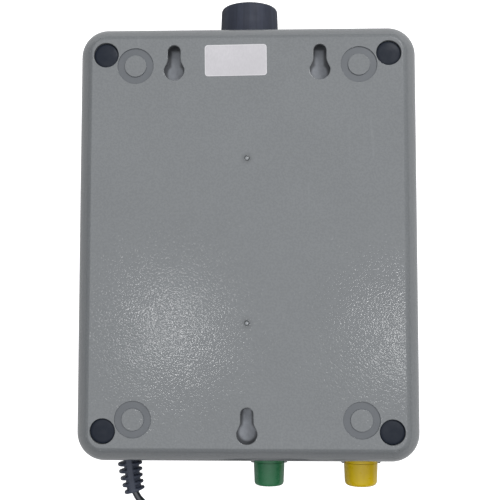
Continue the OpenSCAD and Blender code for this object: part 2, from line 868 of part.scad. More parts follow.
module plug_tip() {
    color([0.15, 0.15, 0.15]) at_plug() translate([0, 0, sleeve_l + plug_body_l + 1]) difference() {
        cylinder(h = barrel_l - 1.3, r = 2.25);
        translate([0, 0, 1]) cylinder(h = barrel_l, r = 1.05);
    }
}

rear_cover();
front_housing();
case_gasket();
case_screws();
corner_plugs();
front_panel();
light_pipe();
status_led();
circuit_board();
board_screws();
transformer_core();
transformer_bobbin();
transformer_winding();
storage_capacitor();
filter_capacitors();
thyristor();
heatsink();
thyristor_screw();
inverter_transformer();
control_chip();
resistors();
supply_connector();
output_tabs();
earth_lead();
fence_lead();
input_lead();
lead_clamp();
clamp_screws();
selector_switch();
selector_washer();
selector_nut();
selector_shaft();
selector_knob();
knob_set_screw();
earth_stud();
fence_stud();
earth_collar();
fence_collar();
stud_washers();
stud_nuts();
ring_terminals();
earth_clamp_washer();
fence_clamp_washer();
earth_insert();
fence_insert();
earth_cap();
fence_cap();
strain_relief();
supply_cord();
cord_coil();
cord_tail();
cord_tie();
plug_body();
plug_barrel();
plug_tip();
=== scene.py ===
"""Looks of an electric fence energiser that lies on its front face.

Lengths are metres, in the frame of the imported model: +X across the case, +Y towards the
selector knob, +Z out of the wall face.
"""

import json
import math

import bmesh
import bpy
from bpy.props import (
    FloatProperty,
    FloatVectorProperty,
    IntProperty,
    PointerProperty,
)
from mathutils import Matrix, Vector


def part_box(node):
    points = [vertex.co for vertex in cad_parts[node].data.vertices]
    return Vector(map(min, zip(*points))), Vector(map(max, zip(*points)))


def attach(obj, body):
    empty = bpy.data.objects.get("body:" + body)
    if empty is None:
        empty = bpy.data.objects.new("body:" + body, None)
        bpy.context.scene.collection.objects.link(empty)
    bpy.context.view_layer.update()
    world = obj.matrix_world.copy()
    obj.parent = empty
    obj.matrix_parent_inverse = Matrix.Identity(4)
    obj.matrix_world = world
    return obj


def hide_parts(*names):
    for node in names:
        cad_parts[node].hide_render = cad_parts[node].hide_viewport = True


bl_info = {
    "name": "Fence energiser",
    "version": (1, 0, 0),
    "blender": (4, 5, 0),
    "location": "3D View > Sidebar > Energiser",
    "description": "Builds the finished pieces of a wall-hung fence energiser",
    "category": "Object",
}

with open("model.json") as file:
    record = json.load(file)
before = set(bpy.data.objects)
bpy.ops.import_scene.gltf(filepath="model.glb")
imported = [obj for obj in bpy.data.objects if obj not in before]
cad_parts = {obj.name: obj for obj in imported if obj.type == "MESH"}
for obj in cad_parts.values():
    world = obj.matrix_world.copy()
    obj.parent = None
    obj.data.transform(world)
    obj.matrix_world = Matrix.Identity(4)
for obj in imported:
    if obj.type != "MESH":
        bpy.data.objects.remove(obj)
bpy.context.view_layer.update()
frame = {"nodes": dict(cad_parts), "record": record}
MM = 0.001

COVER_LOW, COVER_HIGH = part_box("rear_cover")
PLUG_LOW, PLUG_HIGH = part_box("corner_plugs")
KNOB_LOW, KNOB_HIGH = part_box("selector_knob")
MOUNTS = {m["name"]: m for m in frame["record"]["mounts"]}
AXIS_Z = MOUNTS["earth_terminal"]["pos_m"][2]

# Points nearer than the first are one point, and within the second they lie in one plane
WELD = 2e-6
LEVEL = 2e-5
FLAT_ANGLE = math.radians(0.4)

# Marks of the rear cover's mould: ring grooves near its corners, gates on its middle line
RING_X, RING_Y = 49 * MM, 77 * MM
RING_INNER, RING_OUTER = 4.6 * MM, 8.1 * MM
RING_DEPTH = 0.6 * MM
GATE_Y = 35.8 * MM

# A keyhole has a round entry and a narrower slot that runs from it towards the knob
ENTRY_RADIUS = MOUNTS["keyholes_top"]["dims"]["hole_r_mm"] * MM
SLOT_HALF_WIDTH = 2.75 * MM
SLOT_END = 11.1 * MM
KEYHOLE_REACH = 13 * MM

# The cord from the strain relief to the coil, and from the coil to the plug
CORD_ROUTE_MM = [
    (-53.4, -114, 39), (-52.3, -116.3, 38.8), (-50.8, -118.4, 38.3), (-46.8, -122.7, 35.8),
    (-41.5, -126.8, 31.6), (-35, -130, 25.6), (-28, -132.1, 18.8), (-20.8, -133.2, 12.2),
    (-13.8, -133.6, 6.9), (-7, -133.7, 3.7), (0, -133.7, 2.7),
]
TAIL_ROUTE_MM = [
    (0, -132.1, 12.2), (8, -130.4, 11.8), (16.4, -131.9, 10.4), (23.8, -136.2, 8),
    (29.2, -140.7, 6), (34.5, -145.2, 5),
]


# ---- sizes and colours ----


class ENERGISER_PG_case(bpy.types.PropertyGroup):
    edge_round: FloatProperty(
        name="Edge rounding", description="Width of the eased edges of the mouldings",
        default=0.3 * MM, min=0.05 * MM, max=0.6 * MM, precision=5, unit="LENGTH",
    )
    crease_round: FloatProperty(
        name="Crease rounding", description="Width of the soft turn from the wall face to the sides",
        default=1.5 * MM, min=0.2 * MM, max=3 * MM, precision=5, unit="LENGTH",
    )
    shoulder_steps: IntProperty(
        name="Keyhole shoulder", description="How far a keyhole's slot is blended into its round entry",
        default=14, min=0, max=40,
    )
    grey: FloatVectorProperty(
        name="Case grey", description="Colour of the textured case plastic",
        default=(0.270, 0.283, 0.293), min=0, max=1, subtype="COLOR",
    )
    groove_grey: FloatVectorProperty(
        name="Groove grey", description="Colour of the untextured plastic in the ring grooves",
        default=(0.180, 0.192, 0.208), min=0, max=1, subtype="COLOR",
    )
    # Painted light: the pocket grey is much paler than the case grey, standing in for the light that
    # reaches the deep keyhole floors
    pocket_grey: FloatVectorProperty(
        name="Pocket grey", description="Colour of the plastic deep in the keyholes",
        default=(0.46, 0.485, 0.53), min=0, max=1, subtype="COLOR",
    )
    label_size: FloatVectorProperty(
        name="Label size", description="Width and height of the blank label",
        default=(27.2 * MM, 13.9 * MM), size=2, unit="LENGTH",
    )
    label_place: FloatVectorProperty(
        name="Label place", description="Centre of the label on the wall face",
        default=(-4.85 * MM, 79.2 * MM), size=2, unit="LENGTH",
    )
    label_turn: FloatProperty(
        name="Label turn", description="How far the label was stuck on out of square",
        default=math.radians(0.7), unit="ROTATION",
    )
    label_colour: FloatVectorProperty(
        name="Label colour", description="Colour of the label's paper",
        default=(0.79, 0.77, 0.80), min=0, max=1, subtype="COLOR",
    )


class ENERGISER_PG_controls(bpy.types.PropertyGroup):
    knob_rim: FloatProperty(
        name="Knob rim", description="Rounding of the knob's rim",
        default=1.9 * MM, min=0.3 * MM, max=3 * MM, precision=5, unit="LENGTH",
    )
    earth_rim: FloatProperty(
        name="Earth cap rim", description="Rounding of the green cap's end",
        default=1.5 * MM, min=0.3 * MM, max=3 * MM, precision=5, unit="LENGTH",
    )
    fence_rim: FloatProperty(
        name="Fence cap rim", description="Rounding of the yellow cap's end",
        default=2.2 * MM, min=0.3 * MM, max=3 * MM, precision=5, unit="LENGTH",
    )
    black: FloatVectorProperty(
        name="Knob black", description="Colour of the knob",
        default=(0.041, 0.048, 0.074), min=0, max=1, subtype="COLOR",
    )
    plug_black: FloatVectorProperty(
        name="Plug black", description="Colour of the corner plugs",
        default=(0.006, 0.012, 0.026), min=0, max=1, subtype="COLOR",
    )
    green: FloatVectorProperty(
        name="Earth green", description="Colour of the earth terminal",
        default=(0.040, 0.240, 0.100), min=0, max=1, subtype="COLOR",
    )
    yellow: FloatVectorProperty(
        name="Fence yellow", description="Colour of the fence terminal",
        default=(1.0, 0.67, 0.004), min=0, max=1, subtype="COLOR",
    )


class ENERGISER_PG_cord(bpy.types.PropertyGroup):
    diameter: FloatProperty(
        name="Cord diameter", description="Diameter of the round jacket",
        default=3.3 * MM, min=3.2 * MM, max=3.4 * MM, precision=5, unit="LENGTH",
    )
    length: FloatProperty(
        name="Cord length", description="Real length from the strain relief to the plug",
        default=1.5, min=1.4, max=1.6, unit="LENGTH",
    )
    turns: IntProperty(
        name="Coil turns", description="Turns of the stored coil", default=12, min=6, max=12,
    )
    columns: IntProperty(
        name="Coil columns", description="Turns that lie side by side in a layer of the coil",
        default=3, min=2, max=4,
    )
    relief_bend: FloatProperty(
        name="Relief bend", description="Bend of the moulded strain relief",
        default=math.radians(17), unit="ROTATION",
    )
    relief_length: FloatProperty(
        name="Relief length", description="Length of the ribbed part of the strain relief",
        default=17.3 * MM, precision=5, unit="LENGTH",
    )
    relief_ribs: IntProperty(
        name="Relief ribs", description="Number of rings on the strain relief", default=6,
    )
    black: FloatVectorProperty(
        name="Cord black", description="Colour of the cord's jacket",
        default=(0.006, 0.008, 0.014), min=0, max=1, subtype="COLOR",
    )


class ENERGISER_PG_stage(bpy.types.PropertyGroup):
    camera_place: FloatVectorProperty(
        name="Camera place", description="Where the camera stands",
        default=(14.1 * MM, -30.7 * MM, 462.75 * MM), subtype="TRANSLATION",
    )
    camera_aim: FloatVectorProperty(
        name="Camera aim", description="The point that the camera looks at",
        default=(1.4 * MM, -4.25 * MM, 75 * MM), subtype="TRANSLATION",
    )
    focal: FloatProperty(
        name="Focal length", description="Focal length on a 36 mm sensor, in millimetres",
        default=64.8, min=20, max=200,
    )
    key_power: FloatProperty(
        name="Key lamp", description="Power of the lamp above the knob end, in watts",
        default=13.0, min=0,
    )
    side_power: FloatProperty(
        name="Side lamps", description="Power of each lamp that gives the soft sheen, in watts",
        default=0.165, min=0,
    )
    sky: FloatProperty(
        name="Sky", description="Strength of the light from straight above", default=0.98, min=0,
    )
    floor_glow: FloatProperty(
        name="Floor glow", description="Light that lifts the floor to white for the camera",
        default=1.0, min=0,
    )


# ---- mesh helpers ----


def piece(name, bm, material, body="root", replaces=(), smooth=35):
    """Makes a bmesh into a piece that rides on a body and stands for CAD nodes."""
    mesh = bpy.data.meshes.new(name)
    bm.to_mesh(mesh)
    bm.free()
    mesh.shade_smooth()
    mesh.set_sharp_from_angle(angle=math.radians(smooth))
    obj = bpy.data.objects.new(name, mesh)
    bpy.context.scene.collection.objects.link(obj)
    for m in material if isinstance(material, (list, tuple)) else [material]:
        obj.data.materials.append(m)
    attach(obj, body)
    if replaces:
        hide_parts(*replaces)
    return obj


def eased(corners, steps=5):
    """A line through corners given as (radius, height, rounding), with the corners rounded."""
    line = []
    for i, (r, h, rounding) in enumerate(corners):
        if rounding <= 0:
            line.append((r, h))
            continue
        here = Vector((r, h))
        before = Vector(corners[i - 1][:2]) - here
        after = Vector(corners[i + 1][:2]) - here
        start = here + before.normalized() * rounding
        end = here + after.normalized() * rounding
        for k in range(steps + 1):
            t = k / steps
            line.append(tuple(start * (1 - t) ** 2 + here * 2 * t * (1 - t) + end * t * t))
    return line


def turn(bm, corners, at, axis, steps=96):
    """Adds a closed turned shape to a bmesh, with its axis through a point."""
    verts = [bm.verts.new((r, 0, h)) for r, h in eased(corners)]
    edges = [bm.edges.new(pair) for pair in zip(verts, verts[1:])]
    bmesh.ops.spin(
        bm, geom=verts + edges, cent=(0, 0, 0), axis=(0, 0, 1),
        angle=math.tau, steps=steps, use_merge=True,
    )
    island = connected(next(v for v in verts if v.is_valid))
    bmesh.ops.remove_doubles(bm, verts=island, dist=1e-7)
    island = connected(next(v for v in verts if v.is_valid))
    bmesh.ops.recalc_face_normals(bm, faces=list({f for v in island for f in v.link_faces}))
    lay = Vector((0, 0, 1)).rotation_difference(Vector(axis)).to_matrix().to_4x4()
    bmesh.ops.transform(bm, matrix=Matrix.Translation(at) @ lay, verts=island)


def connected(vert):
    """All the verts joined to one vert."""
    seen, todo = {vert}, [vert]
    while todo:
        for edge in todo.pop().link_edges:
            for v in edge.verts:
                if v not in seen:
                    seen.add(v)
                    todo.append(v)
    return list(seen)


def block(bm, low, high, rounding):
    """Adds a box between two corners, with its edges rounded, and returns its verts."""
    old = set(bm.verts)
    low, high = Vector(low), Vector(high)
    verts = bmesh.ops.create_cube(bm, size=1)["verts"]
    bmesh.ops.scale(bm, vec=high - low, verts=verts)
    bmesh.ops.translate(bm, vec=(low + high) / 2, verts=verts)
    edges = list({e for v in verts for e in v.link_edges})
    bmesh.ops.bevel(
        bm, geom=edges, offset=rounding, offset_type="OFFSET", affect="EDGES",
        segments=3, profile=0.5, material=-1, clamp_overlap=True,
    )
    return [v for v in bm.verts if v not in old]


def merged_copy(node, open_at=None):
    """A bmesh copy of a CAD node with its flat faces whole, or taken off at one height."""
    bm = bmesh.new()
    bm.from_mesh(frame["nodes"][node].data)
    bmesh.ops.remove_doubles(bm, verts=bm.verts, dist=WELD)
    if open_at:
        flat = [
            f for f in bm.faces
            if f.normal.z > 0.99 and all(abs(v.co.z - open_at) < LEVEL for v in f.verts)
        ]
        bmesh.ops.delete(bm, geom=flat, context="FACES")
        walls = [e for e in bm.edges if all(abs(f.normal.z) < 0.2 for f in e.link_faces)]
        bmesh.ops.dissolve_limit(bm, angle_limit=FLAT_ANGLE, verts=[], edges=walls)
    else:
        bmesh.ops.dissolve_limit(bm, angle_limit=FLAT_ANGLE, verts=bm.verts, edges=bm.edges)
    return bm


def bevel_edges(bm, edges, width):
    """Rounds some edges of a bmesh."""
    bmesh.ops.bevel(
        bm, geom=edges, offset=width, offset_type="OFFSET", affect="EDGES",
        segments=2, profile=0.5, material=-1, clamp_overlap=False,
    )


def sharp_edges(bm, degrees):
    """The edges of a bmesh whose two faces turn by more than an angle."""
    limit = math.radians(degrees)
    return [e for e in bm.edges if len(e.link_faces) == 2 and e.calc_face_angle(0) > limit]


def add_bevel(obj, width, degrees):
    """Eases a piece's sharp edges with a live modifier."""
    bevel = obj.modifiers.new("edges", "BEVEL")
    bevel.width = width
    bevel.segments = 2
    bevel.limit_method = "ANGLE"
    bevel.angle_limit = math.radians(degrees)
    bevel.use_clamp_overlap = False
    bevel.harden_normals = True


def smooth_route(points_mm, steps):
    """Points on the smooth curve through a route, in metres."""
    p = [Vector(q) * MM for q in points_mm]
    p = [2 * p[0] - p[1]] + p + [2 * p[-1] - p[-2]]
    line = []
    for i in range(1, len(p) - 2):
        a, b, c, d = p[i - 1 : i + 3]
        for k in range(steps):
            t = k / steps
            line.append(
                0.5 * (2 * b + (c - a) * t + (2 * a - 5 * b + 4 * c - d) * t * t
                       + (3 * b - a - 3 * c + d) * t * t * t)
            )
    return line + [p[-2]]


# ---- materials ----


class Finish:
    """Builds one node material on Object coordinates."""

    def __init__(self, name):
        self.material = bpy.data.materials.new(name)
        self.material.use_nodes = True
        self.tree = self.material.node_tree
        self.shader = self.tree.nodes["Principled BSDF"]
        self.coords = self.tree.nodes.new("ShaderNodeTexCoord").outputs["Object"]
        self.normal = None

    def node(self, kind, **inputs):
        """Adds a node; each input is given by its socket's name, or by i and its number."""
        made = self.tree.nodes.new(kind)
        for key, value in inputs.items():
            name = int(key[1:]) if key[1:].isdigit() else key.replace("_", " ")
            socket = made.inputs[name]
            if isinstance(value, bpy.types.NodeSocket):
                self.tree.links.new(value, socket)
            else:
                socket.default_value = value
        return made

    def math(self, operation, a, b=0.0, c=0.0):
        made = self.node("ShaderNodeMath", i0=a, i1=b, i2=c)
        made.operation = operation
        return made.outputs[0]

    def noise(self, scale, detail=3.0, rough=0.5, stretch=None, seed=0.0):
        """Noise between 0 and 1, stretched along an axis or moved if asked."""
        coords = self.coords
        if stretch or seed:
            mapping = self.node("ShaderNodeMapping", Vector=coords)
            mapping.inputs["Scale"].default_value = stretch or (1, 1, 1)
            mapping.inputs["Location"].default_value = (seed, seed * 0.7, seed * 0.3)
            coords = mapping.outputs[0]
        made = self.node("ShaderNodeTexNoise", Vector=coords, Scale=scale, Detail=detail, Roughness=rough)
        return made.outputs[0]

    def near(self, point):
        """How far the surface lies from a point."""
        made = self.node("ShaderNodeVectorMath", i0=self.coords)
        made.operation = "DISTANCE"
        made.inputs[1].default_value = point
        return made.outputs["Value"]

    def ramp(self, value, low, high, to_low=0.0, to_high=1.0):
        """A smooth step from one result to another as a value rises."""
        made = self.node("ShaderNodeMapRange", i0=value, i1=low, i2=high, i3=to_low, i4=to_high)
        made.clamp = True
        made.interpolation_type = "SMOOTHSTEP"
        return made.outputs[0]

    def blend(self, factor, a, b):
        """A colour between two colours."""
        made = self.tree.nodes.new("ShaderNodeMix")
        made.data_type = "RGBA"
        for socket, value in ((made.inputs[0], factor), (made.inputs[6], a), (made.inputs[7], b)):
            if isinstance(value, bpy.types.NodeSocket):
                self.tree.links.new(value, socket)
            else:
                socket.default_value = value if isinstance(value, float) else (*value[:3], 1.0)
        return made.outputs[2]

    def colour(self, value):
        self.put("Base Color", value)

    def rough(self, value):
        self.put("Roughness", value)

    def put(self, socket, value):
        if isinstance(value, bpy.types.NodeSocket):
            self.tree.links.new(value, self.shader.inputs[socket])
        elif isinstance(value, (float, int)):
            self.shader.inputs[socket].default_value = value
        else:
            self.shader.inputs[socket].default_value = (*value[:3], 1.0)

    def bump(self, height, distance, strength=1.0):
        """Adds relief on top of the relief there is."""
        made = self.node("ShaderNodeBump", Height=height, Distance=distance, Strength=strength)
        if self.normal:
            self.tree.links.new(self.normal, made.inputs["Normal"])
        self.normal = made.outputs[0]
        self.tree.links.new(self.normal, self.shader.inputs["Normal"])


def shade(colour, factor):
    """A colour made lighter or darker."""
    return tuple(min(1.0, c * factor) for c in colour)


def moulded(name, colour, rough=0.42, grain=1300, depth=0.02 * MM, vary=0.05, spread=0.08):
    """A moulded plastic: fine grain, slow variation of tone and gloss."""
    f = Finish(name)
    tone = f.ramp(f.noise(45, 4.0), 0.3, 0.7)
    f.colour(f.blend(tone, shade(colour, 1 - vary), shade(colour, 1 + vary)))
    f.rough(f.ramp(f.noise(240, 3.0), 0.3, 0.7, rough - spread, rough + spread))
    f.bump(f.noise(grain, 3.0, 0.6), depth)
    return f.material


def case_plastic(colour):
    """Spark-eroded case plastic that glints in the light, with faint scuffs, painted shade on its rounded
    edge, and painted shade round the gate marks with a painted highlight on their nubs.
    """
    f = Finish("case_plastic")
    height = f.node("ShaderNodeSeparateXYZ", Vector=f.coords).outputs["Z"]
    # Painted shade: the rounded edge below the wall face is darkened in the colour, standing in for how
    # the light falls on it
    painted_edge_shade = f.ramp(height, COVER_HIGH.z - 1.6 * MM, COVER_HIGH.z - 0.2 * MM, 1.0, 0.0)
    tone = f.ramp(f.noise(38, 5.0, 0.6), 0.3, 0.7)
    plain = f.blend(tone, shade(colour, 0.965), shade(colour, 1.035))
    grain = f.noise(1150, 1.5, 0.5)
    grained = f.blend(f.ramp(grain, 0.38, 0.62), shade(colour, 0.92), shade(colour, 1.08))
    even = f.blend(0.5, plain, grained)
    mixed = f.blend(f.math("MULTIPLY", painted_edge_shade, 0.4), even, shade(colour, 0.80))
    scuffs = f.ramp(f.noise(160, 2.0, 0.6, stretch=(1.0, 0.09, 1.0), seed=8.0), 0.70, 0.76)
    worn = f.blend(f.math("MULTIPLY", scuffs, 0.08), mixed, shade(colour, 1.7))
    # Painted shade in a ring round each gate dimple, and a painted highlight on the nub in its middle
    gates = [f.near((0, y, COVER_HIGH.z)) for y in (GATE_Y, -GATE_Y)]
    halo = f.math("MINIMUM", *gates)
    shadowed = f.blend(f.ramp(halo, 1.1 * MM, 3.4 * MM, 0.34, 0.0), worn, shade(colour, 0.45))
    f.colour(f.blend(f.ramp(halo, 0.45 * MM, 0.95 * MM, 0.8, 0.0), shadowed, shade(colour, 1.8)))
    f.rough(f.ramp(f.noise(60, 3.0, seed=2.0), 0.3, 0.7, 0.05, 0.09))
    f.bump(f.noise(24, 2.0, 0.5, seed=1.0), 0.22 * MM, 0.6)
    f.bump(f.noise(85, 2.0, 0.5, seed=7.0), 0.04 * MM, 0.6)
    f.bump(grain, 0.075 * MM, 0.9)
    return f.material


def polished_plastic(name, colour):
    """The case plastic where the mould was polished; on the keyhole walls its darker grey is painted
    shade.
    """
    f = Finish(name)
    tone = f.ramp(f.noise(120, 3.0), 0.3, 0.7)
    f.colour(f.blend(tone, shade(colour, 0.96), shade(colour, 1.04)))
    f.rough(f.ramp(f.noise(300, 2.0), 0.3, 0.7, 0.34, 0.42))
    f.bump(f.noise(400, 2.0), 0.01 * MM, 0.5)
    return f.material


def pocket_plastic(colour):
    """The keyhole floors, dull, with painted shade under the lip, painted lighter where light gets in,
    and the upper floors painted darker than the lower one.
    """
    f = Finish("pocket_plastic")
    _, right, lower = keyhole_entries()
    axes = f.node("ShaderNodeSeparateXYZ", Vector=f.coords).outputs
    upper = f.math("GREATER_THAN", axes["Y"], 0.0)
    beside = f.math("SUBTRACT", f.math("ABSOLUTE", axes["X"]), f.math("MULTIPLY", upper, right.x))
    across = f.math("ABSOLUTE", beside)
    above = f.math("SUBTRACT", axes["Y"], lower.y)
    along = f.math("SUBTRACT", above, f.math("MULTIPLY", upper, right.y - lower.y))
    squares = [f.math("POWER", distance, 2.0) for distance in (across, along)]
    entry = f.math("SUBTRACT", ENTRY_RADIUS, f.math("SQRT", f.math("ADD", *squares)))
    slot = f.math("MINIMUM", f.math("SUBTRACT", SLOT_HALF_WIDTH, across), along)
    end = f.math("SUBTRACT", SLOT_END, along)
    easing = 1.0 * MM
    inside = f.math("SMOOTH_MIN", f.math("SMOOTH_MAX", entry, slot, easing), end, easing)
    # Painted shade along the keyhole outline, where the lip shades the floor
    lit = f.ramp(inside, 0.15 * MM, 1.5 * MM)
    # Painted light: the lower floor is lighter and the upper floors darker, as the light reaches them
    floor = f.blend(upper, shade(colour, 1.05), shade(colour, 0.8))
    mottled = f.blend(f.ramp(f.noise(600, 3.0), 0.3, 0.7), floor, shade(colour, 0.92))
    f.colour(f.blend(lit, shade(colour, 0.30), mottled))
    f.rough(f.ramp(f.noise(300, 2.0), 0.3, 0.7, 0.40, 0.50))
    f.bump(f.noise(900, 2.0), 0.02 * MM, 0.5)
    return f.material


def knob_plastic(colour):
    """Dark plastic with faint painted reflection streaks along it."""
    f = Finish("knob_plastic")
    # Painted reflection: lighter and darker streaks along the knob's axis
    lines = f.ramp(f.noise(520, 3.0, 0.6, stretch=(1.0, 0.03, 1.0)), 0.35, 0.65)
    f.colour(f.blend(lines, shade(colour, 0.86), shade(colour, 1.16)))
    f.rough(f.ramp(f.noise(240, 3.0), 0.3, 0.7, 0.60, 0.72))
    f.bump(f.noise(1100, 3.0, 0.6), 0.03 * MM)
    return f.material


def cap_plastic(name, colour):
    """Satin coloured plastic, with faint darker streaks along it."""
    f = Finish(name)
    tone = f.ramp(f.noise(90, 4.0, 0.6), 0.3, 0.7)
    flow = f.ramp(f.noise(500, 2.0, stretch=(1.0, 0.12, 1.0)), 0.35, 0.65)
    plain = f.blend(tone, shade(colour, 0.92), shade(colour, 1.06))
    f.colour(f.blend(f.math("MULTIPLY", flow, 0.18), plain, shade(colour, 0.82)))
    f.rough(f.ramp(f.noise(350, 3.0), 0.3, 0.7, 0.26, 0.38))
    f.bump(f.noise(220, 3.0), 0.03 * MM, 0.5)
    f.put("Coat Weight", 0.22)
    f.put("Coat Roughness", 0.14)
    return f.material


def cord_jacket(colour):
    """Smooth glossy cord plastic."""
    f = Finish("cord_jacket")
    tone = f.ramp(f.noise(150, 3.0), 0.3, 0.7)
    f.colour(f.blend(tone, shade(colour, 0.85), shade(colour, 1.25)))
    f.rough(f.ramp(f.noise(600, 2.0), 0.3, 0.7, 0.13, 0.22))
    f.bump(f.noise(700, 2.0), 0.015 * MM, 0.5)
    f.put("Coat Weight", 1.0)
    f.put("Coat IOR", 1.9)
    f.put("Coat Tint", (0.80, 0.88, 1.0))
    f.put("Coat Roughness", 0.06)
    return f.material


def label_paper(name, colour):
    """Matt coated paper with a little mottle and relief."""
    f = Finish(name)
    fibre = f.noise(1800, 3.0, 0.6, stretch=(1.0, 0.35, 1.0))
    cloud = f.ramp(f.noise(70, 3.0), 0.3, 0.7)
    plain = f.blend(cloud, shade(colour, 0.96), shade(colour, 1.06))
    f.colour(f.blend(f.math("MULTIPLY", f.ramp(fibre, 0.35, 0.65), 0.25), plain, shade(colour, 0.84)))
    f.rough(f.ramp(cloud, 0, 1, 0.48, 0.60))
    f.bump(fibre, 0.01 * MM, 0.6)
    f.bump(f.noise(60, 2.0, seed=4.0), 0.25 * MM, 0.35)
    return f.material


def metal(name, colour, rough, brush=(1.0, 1.0, 1.0)):
    """Plain or brushed metal."""
    f = Finish(name)
    f.put("Metallic", 1.0)
    tone = f.ramp(f.noise(120, 4.0), 0.3, 0.7)
    f.colour(f.blend(tone, shade(colour, 0.88), shade(colour, 1.05)))
    lines = f.noise(900, 2.0, 0.6, stretch=brush)
    f.rough(f.ramp(lines, 0.3, 0.7, rough - 0.07, rough + 0.10))
    f.bump(lines, 0.01 * MM, 0.5)
    return f.material


def striped(name, colour, other, axis, pitch, rough, share):
    """Layers that follow each other along one axis, such as laminations or tape."""
    f = Finish(name)
    parts = f.node("ShaderNodeSeparateXYZ", Vector=f.coords)
    wobble = f.math("MULTIPLY", f.noise(60, 2.0), 0.2 * pitch)
    place = f.math("ADD", parts.outputs[axis], wobble)
    wave = f.math("FRACT", f.math("DIVIDE", place, pitch))
    from_middle = f.math("ABSOLUTE", f.math("SUBTRACT", wave, 0.5))
    band = f.ramp(from_middle, 0.5 * share - 0.06, 0.5 * share + 0.06)
    tone = f.ramp(f.noise(200, 3.0), 0.3, 0.7)
    plain = f.blend(tone, shade(colour, 0.9), shade(colour, 1.08))
    f.colour(f.blend(band, plain, other))
    f.rough(f.ramp(tone, 0, 1, rough - 0.06, rough + 0.06))
    f.bump(band, 0.05 * MM, 0.6)
    return f.material


def clear_acrylic():
    """The clear plastic of the light pipe."""
    f = Finish("clear_acrylic")
    f.colour(f.blend(f.ramp(f.noise(200, 2.0), 0.3, 0.7), (0.86, 0.90, 0.90), (0.95, 0.97, 0.97)))
    f.put("Transmission Weight", 0.9)
    f.put("IOR", 1.49)
    f.rough(f.ramp(f.noise(500, 2.0), 0.3, 0.7, 0.03, 0.10))
    return f.material


def board_laminate():
    """Solder mask with the faint relief of the tracks under it."""
    f = Finish("board_laminate")
    tracks = f.node("ShaderNodeTexBrick", Vector=f.coords, Scale=120.0)
    tracks.inputs["Mortar Size"].default_value = 0.03
    tracks.inputs["Color1"].default_value = (0.010, 0.075, 0.030, 1)
    tracks.inputs["Color2"].default_value = (0.014, 0.095, 0.040, 1)
    tracks.inputs["Mortar"].default_value = (0.020, 0.140, 0.060, 1)
    f.colour(tracks.outputs["Color"])
    f.rough(f.ramp(f.noise(150, 3.0), 0.3, 0.7, 0.22, 0.34))
    f.bump(tracks.outputs["Fac"], 0.03 * MM, 0.7)
    return f.material


def red_lens():
    """The tinted lens of the indicator, unlit."""
    f = Finish("led_lens")
    f.colour(f.blend(f.ramp(f.noise(300, 2.0), 0.3, 0.7), (0.42, 0.01, 0.008), (0.60, 0.02, 0.015)))
    f.put("Transmission Weight", 0.4)
    f.put("Roughness", 0.12)
    return f.material


def use(node, material):
    """Gives a carried-over CAD node its finished material."""
    obj = frame["nodes"][node]
    if not obj.material_slots:
        obj.data.materials.append(material)
    for holder in obj.material_slots:
        holder.material = material


# ---- camera and cord ----


class ENERGISER_OT_camera(bpy.types.Operator):
    """Sets up the camera that looks down on the wall face"""

    bl_idname = "energiser.camera"
    bl_label = "Camera"

    def execute(self, context):
        s = context.scene.energiser_stage
        data = bpy.data.cameras.new("camera")
        data.lens = s.focal
        data.sensor_width = 36
        camera = bpy.data.objects.new("camera", data)
        context.scene.collection.objects.link(camera)
        back = (Vector(s.camera_place) - Vector(s.camera_aim)).normalized()
        right = Vector((0, 1, 0)).cross(back).normalized()
        axes = Matrix((right, back.cross(right), back)).transposed().to_4x4()
        camera.matrix_world = Matrix.Translation(s.camera_place) @ axes
        context.scene.camera = camera
        return {"FINISHED"}


def coil_points(cord):
    """Points round the stored coil, from its first turn on the floor to the last one on top."""
    low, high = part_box("cord_coil")
    centre = (low + high) / 2
    per_turn = 24
    climb_from, end_at = 0.75, 0.92
    mean = (high.x - low.x) / 2 - cord.columns * cord.diameter / 2
    last = cord.turns * per_turn

    def lane(n):
        layer, step = divmod(n, cord.columns)
        column = step if layer % 2 else cord.columns - 1 - step
        radius = mean + (column - (cord.columns - 1) / 2) * cord.diameter
        return radius, low.z + cord.diameter * (layer + 0.5)

    points = []
    for k in range(last):
        n, part = divmod(k, per_turn)
        part /= per_turn
        radius, height = lane(n)
        leaves = n == cord.turns - 1
        if leaves and part > end_at:
            break
        next_radius, next_height = (radius + cord.diameter, height) if leaves else lane(n + 1)
        t = max(0.0, (part - climb_from) / (1 - climb_from))
        t = t * t * (3 - 2 * t)
        radius += (next_radius - radius) * t
        height += (next_height - height) * t
        angle = math.tau / 4 - math.tau * (n + part)
        points.append(
            Vector((centre.x + radius * math.cos(angle), centre.y + radius * math.sin(angle), height))
        )
    return points


class ENERGISER_OT_supply_cord(bpy.types.Operator):
    """Lays the supply cord along its route, round the coil and to the plug"""

    bl_idname = "energiser.supply_cord"
    bl_label = "Supply cord"

    def execute(self, context):
        cord = context.scene.energiser_cord
        line = smooth_route(CORD_ROUTE_MM, 3) + coil_points(cord) + smooth_route(TAIL_ROUTE_MM, 3)
        curve = bpy.data.curves.new("cord", "CURVE")
        curve.dimensions = "3D"
        curve.bevel_depth = cord.diameter / 2
        curve.bevel_resolution = 4
        curve.use_fill_caps = True
        curve.twist_mode = "MINIMUM"
        spline = curve.splines.new("NURBS")
        spline.points.add(len(line) - 1)
        for point, place in zip(spline.points, line):
            point.co = (*place, 1)
        spline.order_u = 3
        spline.use_endpoint_u = True
        spline.resolution_u = 3
        obj = bpy.data.objects.new("cord", curve)
        context.scene.collection.objects.link(obj)
        obj.data.materials.append(cord_jacket(cord.black))
        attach(obj, "root")
        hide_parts("supply_cord", "cord_coil", "cord_tail")
        return {"FINISHED"}


